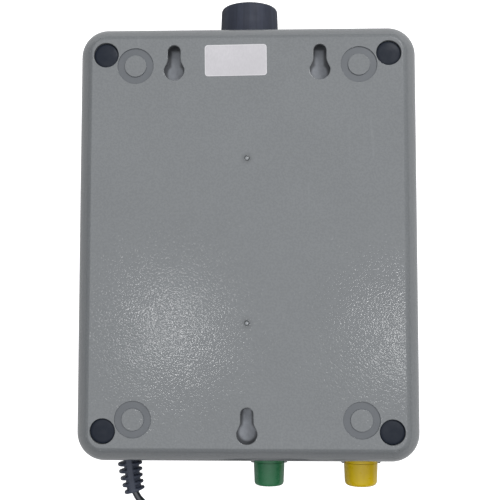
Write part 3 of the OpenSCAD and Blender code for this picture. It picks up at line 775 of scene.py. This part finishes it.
class ENERGISER_OT_cord_tie(bpy.types.Operator):
    """Straps the coil with a soft tie"""

    bl_idname = "energiser.cord_tie"
    bl_label = "Cord tie"

    def execute(self, context):
        low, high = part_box("cord_tie")
        thick, rounding = 0.8 * MM, 2.2 * MM
        bm = bmesh.new()
        corners = [(low.y, low.z), (high.y, low.z), (high.y, high.z), (low.y, high.z)]
        ring = [bm.verts.new((low.x, y, z)) for y, z in corners]
        outer = bm.faces.new(ring)
        bmesh.ops.bevel(
            bm, geom=list(outer.verts), offset=rounding, offset_type="OFFSET", affect="VERTICES",
            segments=6, profile=0.5, material=-1,
        )
        face = bm.faces[:][0]
        bmesh.ops.inset_region(bm, faces=[face], thickness=thick, use_even_offset=True)
        bmesh.ops.delete(bm, geom=[f for f in bm.faces if len(f.verts) > 4], context="FACES_ONLY")
        made = bmesh.ops.extrude_face_region(bm, geom=bm.faces[:])
        moved = [g for g in made["geom"] if isinstance(g, bmesh.types.BMVert)]
        bmesh.ops.translate(bm, vec=(high.x - low.x, 0, 0), verts=moved)
        bmesh.ops.recalc_face_normals(bm, faces=bm.faces)
        bevel_edges(bm, sharp_edges(bm, 60), 0.2 * MM)
        buckle_low = (low.x + 0.6 * MM, low.y - 0.9 * MM, 5 * MM)
        buckle_high = (high.x - 0.6 * MM, low.y + 0.1 * MM, 11 * MM)
        block(bm, buckle_low, buckle_high, 0.4 * MM)
        strap = moulded("tie_strap", (0.055, 0.055, 0.060), rough=0.62, grain=1700, depth=0.06 * MM)
        piece("coil_tie", bm, strap, replaces=["cord_tie"])
        return {"FINISHED"}


# ---- case ----


class ENERGISER_OT_rear_cover(bpy.types.Operator):
    """Makes the rear cover with eased edges, soft keyhole shoulders and polished grooves"""

    bl_idname = "energiser.rear_cover"
    bl_label = "Rear cover"

    def execute(self, context):
        case = context.scene.energiser_case
        top = COVER_HIGH.z
        entries = keyhole_entries()
        bm = merged_copy("rear_cover", open_at=top)
        for at in entries:
            soften_shoulder(bm, at, top, case.shoulder_steps)
        rebuild_face(bm, top, case)
        seam = [
            e for e in sharp_edges(bm, 50)
            if all(abs(v.co.z - COVER_LOW.z) < LEVEL and on_outline(v.co) for v in e.verts)
        ]
        bevel_edges(bm, seam, case.edge_round)
        radius, flatness = 0.9 * MM, 0.45
        off_centre, sunk = 0.1 * MM, 0.3 * MM
        for y in (-GATE_Y, GATE_Y):
            nub = bmesh.ops.create_icosphere(bm, subdivisions=3, radius=radius)["verts"]
            bmesh.ops.scale(bm, vec=(1, 1, flatness), verts=nub)
            bmesh.ops.translate(bm, vec=(off_centre, y, top - sunk), verts=nub)
        finishes = [
            case_plastic(case.grey),
            polished_plastic("groove_plastic", case.groove_grey),
            pocket_plastic(case.pocket_grey),
        ]
        obj = piece("rear_cover_shell", bm, finishes, replaces=["rear_cover"], smooth=32)
        self.share_finishes(obj, entries, top)
        return {"FINISHED"}

    @staticmethod
    def share_finishes(obj, entries, top):
        """Puts the polished finish on grooves and keyhole walls, where its darker grey is painted shade,
        and the dull pocket finish, with its painted light and shade, on their floors.
        """
        grained, polished, pocket = range(3)
        skin, wall_from, floor_to = 0.02 * MM, 2 * MM, 7.5 * MM
        ring = Vector((RING_X, RING_Y))
        for face in obj.data.polygons:
            c = face.center
            face.material_index = grained
            in_groove = RING_INNER < (Vector((abs(c.x), abs(c.y))) - ring).length < RING_OUTER
            if in_groove and top - RING_DEPTH < c.z < top - skin:
                face.material_index = polished
            in_hole = any((c.xy - at).length < KEYHOLE_REACH for at in entries)
            if in_hole and top - floor_to < c.z < top - wall_from:
                # Keyhole walls take the darker polished grey as painted shade
                face.material_index = pocket if face.normal.z > 0.9 else polished


def soften_shoulder(bm, entry, top, steps):
    """Draws the corner between a keyhole's slot and its round entry into a long soft curve."""
    wall_low = top - 2.5 * MM
    half_width, half_height = 4.6 * MM, 12 * MM
    cuts, first_cut, cut_pitch = 10, 3.7 * MM, 0.42 * MM
    loose_from, loose_to = 1.2 * MM, 7.4 * MM
    for k in range(cuts):
        faces = [
            f for f in bm.faces
            if abs(f.normal.z) < 0.2 and f.calc_center_median().z > wall_low
            and all(abs(v.co.x - entry.x) < half_width for v in f.verts)
            and all(abs(v.co.y - entry.y) < half_height for v in f.verts)
        ]
        parts = {g for f in faces for g in (f, *f.edges, *f.verts)}
        cut = (0, entry.y + first_cut + cut_pitch * k, 0)
        bmesh.ops.bisect_plane(bm, geom=list(parts), plane_co=cut, plane_no=(0, 1, 0), dist=1e-6)
    reach = KEYHOLE_REACH + 1 * MM
    rings = [r for r in open_loops(bm) if all((v.co.xy - entry).length < reach for v in r)]
    ring = max(rings, key=len)
    columns = []
    for v in ring:
        lower = [e.other_vert(v) for e in v.link_edges if not e.is_boundary]
        columns.append((v, min(lower, key=lambda o: (o.co.xy - v.co.xy).length)))
    loose = [loose_from < v.co.y - entry.y < loose_to for v in ring]
    for _ in range(steps):
        places = [v.co.xy for v in ring]
        for i, (v, below) in enumerate(columns):
            if loose[i]:
                middle = (places[i - 1] + places[(i + 1) % len(ring)]) / 2
                v.co.xy = below.co.xy = places[i].lerp(middle, 0.5)


def on_outline(co):
    """Whether a point lies on the outer side of the case."""
    side, corner = 0.6 * MM, 13 * MM
    from_x, from_y = COVER_HIGH.x - abs(co.x), COVER_HIGH.y - abs(co.y)
    return min(from_x, from_y) < side or max(from_x, from_y) < corner


def rebuild_face(bm, top, case):
    """Closes the open wall face, with a rounded edge all round it and round its holes."""
    loops = open_loops(bm)
    outer = max(loops, key=lambda ring: max(v.co.x for v in ring))
    crowded_from, gate_size = 40 * MM, 3 * MM
    disc_smallest, disc_largest = 9 * MM, 10 * MM
    fill = []
    for ring in loops:
        size = max((a.co - ring[0].co).length for a in ring)
        crowded = ring is not outer and abs(ring[0].co.x) > crowded_from
        island = crowded and disc_smallest < size < disc_largest
        if ring is outer:
            down, across, margin = case.crease_round, case.edge_round * 0.8, case.edge_round * 0.3
        elif crowded:
            down, across, margin = (case.edge_round * k for k in (0.5, 0.5, 0.25))
        else:
            down = across = case.edge_round * (0.4 if size < gate_size else 1.4)
            margin = case.edge_round * 1.2
        last = round_over(bm, ring, down, across, margin, inside=ring is outer or island)
        if island:
            bm.faces.new(last)
        else:
            fill += [bm.edges.get((a, b)) for a, b in zip(last, last[1:] + last[:1])]
    bmesh.ops.scale(bm, vec=Vector((1, 1, 1)) / MM, verts=bm.verts)
    bmesh.ops.triangle_fill(bm, edges=fill, use_beauty=True, normal=(0, 0, 1))
    bmesh.ops.scale(bm, vec=Vector((1, 1, 1)) * MM, verts=bm.verts)
    bmesh.ops.recalc_face_normals(bm, faces=bm.faces)


def open_loops(bm):
    """The open boundary of a mesh as lists of verts in order."""
    todo = {v for e in bm.edges if e.is_boundary for v in e.verts}
    loops = []
    for first in bm.verts[:]:
        if first not in todo:
            continue
        todo.discard(first)
        ring = [first]
        while True:
            ahead = [
                e.other_vert(ring[-1]) for e in ring[-1].link_edges
                if e.is_boundary and e.other_vert(ring[-1]) in todo
            ]
            if not ahead:
                break
            ring.append(ahead[0])
            todo.discard(ahead[0])
        loops.append(ring)
    return loops


def round_over(bm, ring, depth, width, margin, inside, steps=4):
    """Rounds the open edge round one loop of the flat face and returns the new loop."""
    count = len(ring)
    area = sum(a.co.xy.cross(b.co.xy) for a, b in zip(ring, ring[1:] + ring[:1]))
    to_flat = Vector((0, 0, 1 if (area > 0) == inside else -1))
    inward, down = [], []
    for i, vert in enumerate(ring):
        ahead = to_flat.cross(ring[(i + 1) % count].co - vert.co).normalized()
        behind = to_flat.cross(vert.co - ring[i - 1].co).normalized()
        inward.append((ahead + behind) / max(0.5, 1 + ahead.dot(behind)))
        below = [
            (e.other_vert(vert).co - vert.co).normalized() for e in vert.link_edges if not e.is_boundary
        ]
        down.append(min(below, key=lambda d: d.z))
    start = [v.co.copy() for v in ring]
    for vert, d in zip(ring, down):
        vert.co += d * depth
    rings = [ring]
    for k in range(1, steps + 2):
        t = min(1.0, k / steps)
        made = []
        for co, m, d in zip(start, inward, down):
            place = (co + d * depth) * (1 - t) ** 2 + co * 2 * t * (1 - t) + (co + m * width) * t * t
            made.append(bm.verts.new(place + (m * margin if k > steps else Vector())))
        rings.append(made)
    for low, high in zip(rings, rings[1:]):
        for i in range(count):
            j = (i + 1) % count
            bm.faces.new((low[i], low[j], high[j], high[i]))
    return rings[-1]


def keyhole_entries():
    """The centres of the round keyhole entries, from the mounts."""
    pair = MOUNTS["keyholes_top"]
    half = pair["dims"]["spacing_x_mm"] * MM / 2
    x, y, _ = pair["pos_m"]
    lower = MOUNTS["keyhole_bottom"]["pos_m"]
    return [Vector((x - half, y)), Vector((x + half, y)), Vector(lower[:2])]


class ENERGISER_OT_front_housing(bpy.types.Operator):
    """Makes the front housing and its seal"""

    bl_idname = "energiser.front_housing"
    bl_label = "Front housing"

    def execute(self, context):
        plastic = bpy.data.materials["case_plastic"]
        shell = merged_copy("front_housing")
        obj = piece("front_housing_moulding", shell, plastic, replaces=["front_housing"])
        add_bevel(obj, context.scene.energiser_case.edge_round, 35)
        rubber = moulded("seal_rubber", (0.020, 0.020, 0.022), rough=0.75, grain=1500)
        film = moulded(
            "panel_film", (0.62, 0.62, 0.59), rough=0.45, grain=2200, depth=0.008 * MM, vary=0.02,
        )
        use("case_gasket", rubber)
        use("front_panel", film)
        use("light_pipe", clear_acrylic())
        return {"FINISHED"}


class ENERGISER_OT_corner_plugs(bpy.types.Operator):
    """Turns the four domed plugs that hide the case screws"""

    bl_idname = "energiser.corner_plugs"
    bl_label = "Corner plugs"

    def execute(self, context):
        controls = context.scene.energiser_controls
        radius = 5.35 * MM
        x, y = PLUG_HIGH.x - radius, PLUG_HIGH.y - radius
        foot, crown = PLUG_LOW.z, PLUG_HIGH.z
        rim = crown - 0.7 * MM
        roof, inner = foot + 4 * MM, radius - 1.2 * MM
        corners = [
            (0, roof, 0), (inner, roof, 0.2 * MM), (inner, foot, 0.1 * MM),
            (radius - 0.15 * MM, foot, 0.1 * MM),
            (radius, rim, 0.25 * MM), (radius * 0.8, rim + 0.36 * MM, 0.3 * MM),
            (radius * 0.5, rim + 0.57 * MM, 0.4 * MM), (radius * 0.2, crown, 0.4 * MM), (0, crown, 0),
        ]
        bm = bmesh.new()
        for sx in (-1, 1):
            for sy in (-1, 1):
                turn(bm, corners, (sx * x, sy * y, 0), (0, 0, 1), steps=72)
        plastic = moulded("plug_plastic", controls.plug_black, rough=0.58, grain=1000, depth=0.03 * MM)
        piece("hole_plugs", bm, plastic, replaces=["corner_plugs"])
        return {"FINISHED"}


class ENERGISER_OT_label(bpy.types.Operator):
    """Sticks the blank label on the wall face"""

    bl_idname = "energiser.label"
    bl_label = "Blank label"

    def execute(self, context):
        case = context.scene.energiser_case
        thick, corner_round, highlight_width = 0.12 * MM, 1.4 * MM, 0.32 * MM
        bm = bmesh.new()
        bmesh.ops.create_grid(bm, x_segments=1, y_segments=1, size=0.5)
        bmesh.ops.scale(bm, vec=(case.label_size[0], case.label_size[1], 1), verts=bm.verts)
        bmesh.ops.bevel(
            bm, geom=bm.verts[:], offset=corner_round, offset_type="OFFSET", affect="VERTICES",
            segments=8, profile=0.5, material=-1,
        )
        made = bmesh.ops.extrude_face_region(bm, geom=bm.faces[:])
        lifted = [g for g in made["geom"] if isinstance(g, bmesh.types.BMVert)]
        bmesh.ops.translate(bm, vec=(0, 0, thick), verts=lifted)
        bmesh.ops.recalc_face_normals(bm, faces=bm.faces)
        front = max(bm.faces, key=lambda f: f.calc_center_median().z)
        # Painted highlight: a lighter strip along the edge of the label's front face
        rim = bmesh.ops.inset_region(bm, faces=[front], thickness=highlight_width, use_even_offset=True)
        for face in rim["faces"]:
            face.material_index = 1
        place = Matrix.Translation((*case.label_place, COVER_HIGH.z + 0.005 * MM))
        bmesh.ops.transform(bm, matrix=place @ Matrix.Rotation(case.label_turn, 4, "Z"), verts=bm.verts)
        # The second paper, made lighter, is the painted edge highlight
        paper = label_paper("label_paper", case.label_colour)
        painted_edge_highlight = label_paper("label_cut_edge", shade(case.label_colour, 1.22))
        piece("label", bm, [paper, painted_edge_highlight])
        return {"FINISHED"}


# ---- selector knob and terminals ----


class ENERGISER_OT_selector_knob(bpy.types.Operator):
    """Turns the selector knob with its set screw hole, and lays a painted pointer strip on its end"""

    bl_idname = "energiser.selector_knob"
    bl_label = "Selector knob"

    def execute(self, context):
        controls = context.scene.energiser_controls
        skirt, reach = KNOB_LOW.y, KNOB_HIGH.y - KNOB_LOW.y
        radius = (KNOB_HIGH.x - KNOB_LOW.x) / 2
        end = radius - 0.6 * MM
        recess, recess_depth = radius - 2.2 * MM, 6.4 * MM
        bore, bore_depth = 3.02 * MM, 13.6 * MM
        corners = [
            (0, reach, 0), (end, reach, controls.knob_rim), (radius, 0, 0.5 * MM),
            (recess, 0, 0.4 * MM), (recess, recess_depth, 0.4 * MM), (bore, recess_depth, 0.2 * MM),
            (bore, bore_depth, 0), (0, bore_depth, 0),
        ]
        bm = bmesh.new()
        turn(bm, corners, (0, skirt, AXIS_Z), (0, 1, 0), steps=128)
        plastic = knob_plastic(controls.black)
        knob = piece("knob", bm, plastic, "selector", ["selector_knob"], smooth=30)
        cut_screw_hole(knob, skirt)
        half = 0.5 * MM
        pointer_low = (-half, KNOB_HIGH.y - 0.3 * MM, AXIS_Z - end + 1.9 * MM)
        pointer_high = (half, KNOB_HIGH.y + 0.05 * MM, AXIS_Z - 3.5 * MM)
        bm = bmesh.new()
        block(bm, pointer_low, pointer_high, 0.12 * MM)
        paint = moulded("pointer_paint", (0.66, 0.66, 0.63), rough=0.5, grain=1500, depth=0.02 * MM)
        piece("knob_pointer", bm, paint, "selector")
        return {"FINISHED"}


def cut_screw_hole(knob, skirt):
    """Drills the set screw's hole through the front side of the knob."""
    low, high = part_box("knob_set_screw")
    centre = (low + high) / 2
    radius = (high.x - low.x) / 2 + 0.05 * MM
    start, depth = AXIS_Z - 16 * MM, 14 * MM
    corners = [(0, 0, 0), (radius, 0, 0), (radius, depth, 0), (0, depth, 0)]
    bm = bmesh.new()
    turn(bm, corners, (centre.x, centre.y, start), (0, 0, 1), steps=32)
    mesh = bpy.data.meshes.new("screw_hole")
    bm.to_mesh(mesh)
    bm.free()
    cutter = bpy.data.objects.new("screw_hole", mesh)
    bpy.context.scene.collection.objects.link(cutter)
    drill = knob.modifiers.new("drill", "BOOLEAN")
    drill.operation = "DIFFERENCE"
    drill.solver = "EXACT"
    drill.object = cutter
    keep_result(knob)
    bpy.data.objects.remove(cutter)


def keep_result(obj):
    """Applies a piece's modifiers to its mesh."""
    bpy.context.view_layer.update()
    graph = bpy.context.evaluated_depsgraph_get()
    mesh = bpy.data.meshes.new_from_object(obj.evaluated_get(graph))
    obj.modifiers.clear()
    obj.data = mesh


class ENERGISER_OT_terminals(bpy.types.Operator):
    """Turns the green earth cap, the yellow fence cap and their collars"""

    bl_idname = "energiser.terminals"
    bl_label = "Terminals"

    def execute(self, context):
        controls = context.scene.energiser_controls
        sides = (
            ("earth", "green_plastic", controls.green, controls.earth_rim),
            ("fence", "yellow_plastic", controls.yellow, controls.fence_rim),
        )
        for name, slot, colour, rim in sides:
            plastic = cap_plastic(slot, colour)
            self.collar(name, slot, plastic)
            self.cap(name, slot, plastic, rim)
        return {"FINISHED"}

    @staticmethod
    def collar(name, slot, plastic):
        """Turns the ring that a cap closes against."""
        low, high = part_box(name + "_collar")
        centre = (low + high) / 2
        radius, height = (high.x - low.x) / 2, high.y - low.y
        bore = 3.2 * MM
        corners = [
            (bore, 0, 0), (radius, 0, 0.25 * MM), (radius, height, 0.08 * MM),
            (bore, height, 0), (bore, 0, 0),
        ]
        bm = bmesh.new()
        turn(bm, corners, (centre.x, high.y, centre.z), (0, -1, 0), steps=112)
        piece(name + "_terminal_collar", bm, plastic, replaces=[name + "_collar"])

    @staticmethod
    def cap(name, slot, plastic, rim):
        """Turns a cap, hollow round its clamp parts."""
        low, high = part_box(name + "_cap")
        insert_low, insert_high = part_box(name + "_insert")
        centre = (low + high) / 2
        radius, reach = (high.x - low.x) / 2, high.y - low.y
        end = radius - 0.4 * MM
        seat = high.y - insert_high.y
        pocket = high.y - insert_low.y
        bore = (insert_high.x - insert_low.x) / 2
        throat = 5.9 * MM
        corners = [
            (0, reach, 0), (end * 0.6, reach - 0.04 * MM, 1 * MM), (end, reach - 0.15 * MM, rim),
            (radius, 0, 0.08 * MM), (throat, 0, 0.2 * MM), (throat, seat, 0.1 * MM),
            (bore, seat, 0.1 * MM), (bore, pocket, 0), (0, pocket, 0),
        ]
        bm = bmesh.new()
        turn(bm, corners, (centre.x, high.y, centre.z), (0, -1, 0), steps=128)
        piece(name + "_screw_cap_shell", bm, plastic, name + "_screw_cap", [name + "_cap"])


# ---- strain relief and plug ----


class ENERGISER_OT_strain_relief(bpy.types.Operator):
    """Makes the ribbed strain relief as one soft moulding, bent as it lies"""

    bl_idname = "energiser.strain_relief"
    bl_label = "Strain relief"

    def execute(self, context):
        cord = context.scene.energiser_cord
        flange = 6.2 * MM
        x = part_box("strain_relief")[0].x + flange
        wall_face = COVER_LOW.y - 1 * MM
        length = cord.relief_length
        lock = [
            (0, -6 * MM, 0), (flange, -6 * MM, 0.3 * MM), (flange, -3.6 * MM, 0.3 * MM),
            (4.5 * MM, -3.6 * MM, 0), (4.5 * MM, -0.9 * MM, 0), (6 * MM, -0.9 * MM, 0.2 * MM),
            (6 * MM, 0, 0.3 * MM), (0, 0, 0),
        ]
        sleeve = [
            (0, -1 * MM, 0), (3.6 * MM, -1 * MM, 0), (3.45 * MM, length - 1.2 * MM, 0.4 * MM),
            (2.1 * MM, length + 0.1 * MM, 0.3 * MM), (0, length + 0.1 * MM, 0),
        ]
        profiles = [lock, sleeve]
        rib_pitch, rib_width, rib_round = 3.08 * MM, 1.5 * MM, 0.68 * MM
        for k in range(cord.relief_ribs):
            r = (5.9 - 0.22 * k) * MM
            near = 0.5 * MM + k * rib_pitch
            far = near + rib_width
            profiles.append([(0, near, 0), (r, near, rib_round), (r, far, rib_round), (0, far, 0)])
        bm = bmesh.new()
        for profile in profiles:
            turn(bm, profile, (0, 0, 0), (0, 0, 1), steps=64)
        half, taper = 1.5 * MM, 0.075
        for side in (-1, 1):
            inner, outer = sorted((side * 2.6 * MM, side * 5.95 * MM))
            start, end = (-half, inner, -0.5 * MM), (half, outer, length - 0.6 * MM)
            for v in block(bm, start, end, 0.6 * MM):
                if abs(v.co.y) > 4 * MM:
                    v.co.y -= side * taper * v.co.z
        # The straight moulding is laid along an arc that leaves the wall at a right angle
        bend = cord.relief_bend / length
        swing = length / cord.relief_bend
        for v in bm.verts:
            across, up, out = v.co
            angle = max(0.0, out) * bend
            reach = swing - across
            v.co = (
                x + swing - reach * math.cos(angle),
                wall_face - reach * math.sin(angle) - min(0.0, out),
                AXIS_Z + up,
            )
        bmesh.ops.recalc_face_normals(bm, faces=bm.faces)
        rubber = moulded("relief_rubber", (0.066, 0.078, 0.115), rough=0.36, grain=900, depth=0.03 * MM)
        obj = piece("cord_relief", bm, rubber, replaces=["strain_relief"], smooth=50)
        skin = obj.modifiers.new("one_skin", "REMESH")
        skin.mode = "VOXEL"
        skin.voxel_size = 0.19 * MM
        skin.use_smooth_shade = True
        soft = obj.modifiers.new("soften", "SMOOTH")
        soft.factor = 0.5
        soft.iterations = 3
        keep_result(obj)
        return {"FINISHED"}


class ENERGISER_OT_plug(bpy.types.Operator):
    """Makes the round low-voltage plug with its grip and bend relief"""

    bl_idname = "energiser.plug"
    bl_label = "Plug"

    def execute(self, context):
        pin = MOUNTS["dc_plug"]
        axis = Vector(pin["axis"]).normalized()
        front = Vector(pin["pos_m"]) - axis * pin["dims"]["length_mm"] * MM / 2
        grip, sleeve = 18 * MM, 8 * MM
        back = front - axis * (grip + sleeve)
        neck, radius, valley = 2.1 * MM, 5 * MM, 4.6 * MM
        corners = [(0, 0, 0), (2.2 * MM, 0, 0.2 * MM), (2.5 * MM, 2 * MM, 0), (neck, 2.3 * MM, 0)]
        for k in range(3):
            at = (2.3 + 1.8 * k) * MM
            r = (2.75 + 0.2 * k) * MM
            corners += [
                (neck, at + 0.6 * MM, 0.1 * MM), (r, at + 0.7 * MM, 0.15 * MM),
                (r + 0.1 * MM, at + 1.7 * MM, 0.15 * MM), (neck, at + 1.8 * MM, 0.1 * MM),
            ]
        corners += [
            (2.2 * MM, sleeve, 0.1 * MM), (4.7 * MM, sleeve, 0.5 * MM),
            (radius, sleeve + 1.6 * MM, 0.3 * MM),
        ]
        for k in range(5):
            at = sleeve + (3 + 2.6 * k) * MM
            corners += [
                (radius, at - 0.1 * MM, 0.15 * MM), (valley, at + 0.1 * MM, 0.15 * MM),
                (valley, at + 0.9 * MM, 0.15 * MM), (radius, at + 1.1 * MM, 0.15 * MM),
            ]
        corners += [(radius, sleeve + grip, 0.6 * MM), (0, sleeve + grip, 0)]
        bm = bmesh.new()
        turn(bm, corners, back, axis, steps=72)
        plastic = moulded("plug_grip", (0.018, 0.019, 0.022), rough=0.38, grain=1000, depth=0.02 * MM)
        piece("plug_grip", bm, plastic, replaces=["plug_body"], smooth=40)
        return {"FINISHED"}


class ENERGISER_OT_declare_cord(bpy.types.Operator):
    """Does nothing: the cord's real length and what is on it are not stated here"""

    bl_idname = "energiser.declare_cord"
    bl_label = "Declare cord"

    def execute(self, context):
        return {"FINISHED"}


# ---- parts inside ----


class ENERGISER_OT_inner_parts(bpy.types.Operator):
    """Gives the parts inside the case and the fasteners their finishes"""

    bl_idname = "energiser.inner_parts"
    bl_label = "Inner parts"

    def execute(self, context):
        zinc = metal("zinc_plate", (0.62, 0.64, 0.66), 0.30)
        brass = metal("turned_brass", (0.62, 0.44, 0.16), 0.26, brush=(0.1, 1.0, 0.1))
        epoxy = moulded("moulded_epoxy", (0.016, 0.016, 0.018), rough=0.55, grain=1500)
        nylon = moulded("natural_nylon", (0.66, 0.65, 0.58), rough=0.5, grain=900, vary=0.03)
        tape = striped(
            "winding_tape", (0.48, 0.33, 0.04), (0.36, 0.23, 0.03), "Y", 3.2 * MM, 0.35, share=0.9,
        )
        laminations = striped(
            "lamination_stack", (0.085, 0.085, 0.095), (0.030, 0.030, 0.035), "Z", 0.5 * MM, 0.45,
            share=0.8,
        )
        lacquer = striped(
            "resistor_lacquer", (0.48, 0.32, 0.16), (0.16, 0.05, 0.02), "Y", 1.9 * MM, 0.4, share=0.7,
        )
        film_can = moulded("film_can", (0.62, 0.59, 0.50), rough=0.32, grain=500, vary=0.03)
        sleeve_can = moulded("sleeve_can", (0.012, 0.016, 0.060), rough=0.28, grain=400)
        finishes = {
            "status_led": red_lens(),
            "circuit_board": board_laminate(),
            "transformer_core": laminations,
            "transformer_winding": tape,
            "inverter_transformer": tape,
            "storage_capacitor": film_can,
            "filter_capacitors": sleeve_can,
            "heatsink": metal("extruded_aluminium", (0.66, 0.67, 0.69), 0.34, brush=(1.0, 1.0, 0.06)),
            "resistors": lacquer,
            "earth_lead": bpy.data.materials["green_plastic"],
            "fence_lead": bpy.data.materials["yellow_plastic"],
            "input_lead": bpy.data.materials["cord_jacket"],
            "selector_washer": bpy.data.materials["seal_rubber"],
            "selector_shaft": brass,
        }
        shared = {
            epoxy: ["transformer_bobbin", "thyristor", "control_chip", "selector_switch", "plug_tip"],
            nylon: ["supply_connector", "lead_clamp"],
            brass: ["earth_insert", "fence_insert"],
            zinc: [
                "case_screws", "board_screws", "thyristor_screw", "output_tabs", "clamp_screws",
                "selector_nut", "knob_set_screw", "earth_stud", "fence_stud", "stud_washers",
                "stud_nuts", "ring_terminals", "earth_clamp_washer", "fence_clamp_washer", "plug_barrel",
            ],
        }
        for node, material in finishes.items():
            use(node, material)
        for material, nodes in shared.items():
            for node in nodes:
                use(node, material)
        return {"FINISHED"}


# ---- stage ----


class ENERGISER_OT_stage(bpy.types.Operator):
    """Lays the pale floor and hangs the soft lamps"""

    bl_idname = "energiser.stage"
    bl_label = "Stage"

    def execute(self, context):
        s = context.scene.energiser_stage
        self.floor(s)
        self.world(context.scene, s)
        lamp("key_lamp", (0.85, 1.05, 1.55), 0.8, s.key_power)
        lamp("left_lamp", (-0.17, -0.06, 1.2), 0.07, s.side_power)
        lamp("right_lamp", (0.235, -0.07, 1.2), 0.07, s.side_power)
        context.scene.view_settings.view_transform = "Standard"
        return {"FINISHED"}

    @staticmethod
    def floor(s):
        """A floor that is white to the camera and keeps the shadow."""
        bm = bmesh.new()
        bmesh.ops.create_grid(bm, x_segments=1, y_segments=1, size=3)
        bmesh.ops.translate(bm, vec=(0, 0, -0.05 * MM), verts=bm.verts)
        mesh = bpy.data.meshes.new("floor")
        bm.to_mesh(mesh)
        bm.free()
        obj = bpy.data.objects.new("floor", mesh)
        bpy.context.scene.collection.objects.link(obj)
        material = bpy.data.materials.new("floor_white")
        material.use_nodes = True
        tree = material.node_tree
        shader = tree.nodes["Principled BSDF"]
        shader.inputs["Base Color"].default_value = (0.86, 0.86, 0.86, 1)
        shader.inputs["Roughness"].default_value = 0.9
        shader.inputs["Specular IOR Level"].default_value = 0.1
        shader.inputs["Emission Color"].default_value = (1, 1, 1, 1)
        path = tree.nodes.new("ShaderNodeLightPath")
        glow = tree.nodes.new("ShaderNodeMath")
        glow.operation = "MULTIPLY"
        glow.inputs[1].default_value = s.floor_glow
        tree.links.new(path.outputs["Is Camera Ray"], glow.inputs[0])
        tree.links.new(glow.outputs[0], shader.inputs["Emission Strength"])
        mesh.materials.append(material)

    @staticmethod
    def world(scene, s):
        """White behind everything, and a sky whose light comes mostly from straight above."""
        world = bpy.data.worlds.new("white_room")
        scene.world = world
        world.use_nodes = True
        tree = world.node_tree
        tree.nodes.clear()
        out = tree.nodes.new("ShaderNodeOutputWorld")
        seen = tree.nodes.new("ShaderNodeBackground")
        seen.inputs["Color"].default_value = (1, 1, 1, 1)
        light = tree.nodes.new("ShaderNodeBackground")
        light.inputs["Color"].default_value = (0.97, 0.98, 1, 1)
        way = tree.nodes.new("ShaderNodeTexCoord")
        parts = tree.nodes.new("ShaderNodeSeparateXYZ")
        tree.links.new(way.outputs["Generated"], parts.inputs[0])
        rise = tree.nodes.new("ShaderNodeMapRange")
        dark_below, low_share = 0.35, 0.06
        rise.inputs["From Min"].default_value = dark_below
        rise.inputs["To Min"].default_value = s.sky * low_share
        rise.inputs["To Max"].default_value = s.sky
        tree.links.new(parts.outputs["Z"], rise.inputs["Value"])
        tree.links.new(rise.outputs[0], light.inputs["Strength"])
        path = tree.nodes.new("ShaderNodeLightPath")
        mix = tree.nodes.new("ShaderNodeMixShader")
        direct = tree.nodes.new("ShaderNodeMath")
        direct.operation = "MAXIMUM"
        tree.links.new(path.outputs["Is Camera Ray"], direct.inputs[0])
        tree.links.new(path.outputs["Is Transmission Ray"], direct.inputs[1])
        tree.links.new(direct.outputs[0], mix.inputs[0])
        tree.links.new(light.outputs[0], mix.inputs[1])
        tree.links.new(seen.outputs[0], mix.inputs[2])
        tree.links.new(mix.outputs[0], out.inputs["Surface"])


def lamp(name, place, size, power):
    """A square soft lamp that faces the middle of the case."""
    data = bpy.data.lights.new(name, "AREA")
    data.size = size
    data.energy = power
    obj = bpy.data.objects.new(name, data)
    bpy.context.scene.collection.objects.link(obj)
    obj.location = place
    aim = Vector((0, 0, COVER_HIGH.z)) - Vector(place)
    obj.rotation_euler = aim.to_track_quat("-Z", "Y").to_euler()


# ---- panel and registration ----

STEPS = (
    "camera", "supply_cord", "cord_tie", "rear_cover", "front_housing", "corner_plugs", "label",
    "selector_knob", "terminals", "strain_relief", "plug", "declare_cord", "inner_parts", "stage",
)


class ENERGISER_PT_build(bpy.types.Panel):
    """Lists the sizes, the colours and the steps of the build"""

    bl_label = "Energiser"
    bl_idname = "ENERGISER_PT_build"
    bl_space_type = "VIEW_3D"
    bl_region_type = "UI"
    bl_category = "Energiser"

    def draw(self, context):
        for group in ("energiser_case", "energiser_controls", "energiser_cord", "energiser_stage"):
            box = self.layout.box()
            settings = getattr(context.scene, group)
            for name in settings.__annotations__:
                box.prop(settings, name)
        for step in STEPS:
            self.layout.operator("energiser." + step)


GROUPS = {
    "energiser_case": ENERGISER_PG_case,
    "energiser_controls": ENERGISER_PG_controls,
    "energiser_cord": ENERGISER_PG_cord,
    "energiser_stage": ENERGISER_PG_stage,
}
CLASSES = (
    *GROUPS.values(),
    ENERGISER_OT_camera,
    ENERGISER_OT_supply_cord,
    ENERGISER_OT_cord_tie,
    ENERGISER_OT_rear_cover,
    ENERGISER_OT_front_housing,
    ENERGISER_OT_corner_plugs,
    ENERGISER_OT_label,
    ENERGISER_OT_selector_knob,
    ENERGISER_OT_terminals,
    ENERGISER_OT_strain_relief,
    ENERGISER_OT_plug,
    ENERGISER_OT_declare_cord,
    ENERGISER_OT_inner_parts,
    ENERGISER_OT_stage,
    ENERGISER_PT_build,
)


def register():
    for cls in CLASSES:
        bpy.utils.register_class(cls)
    for name, group in GROUPS.items():
        setattr(bpy.types.Scene, name, PointerProperty(type=group))


def unregister():
    for name in GROUPS:
        delattr(bpy.types.Scene, name)
    for cls in reversed(CLASSES):
        bpy.utils.unregister_class(cls)


def main():
    register()
    for step in STEPS:
        getattr(bpy.ops.energiser, step)()


if __name__ == "__main__":
    main()
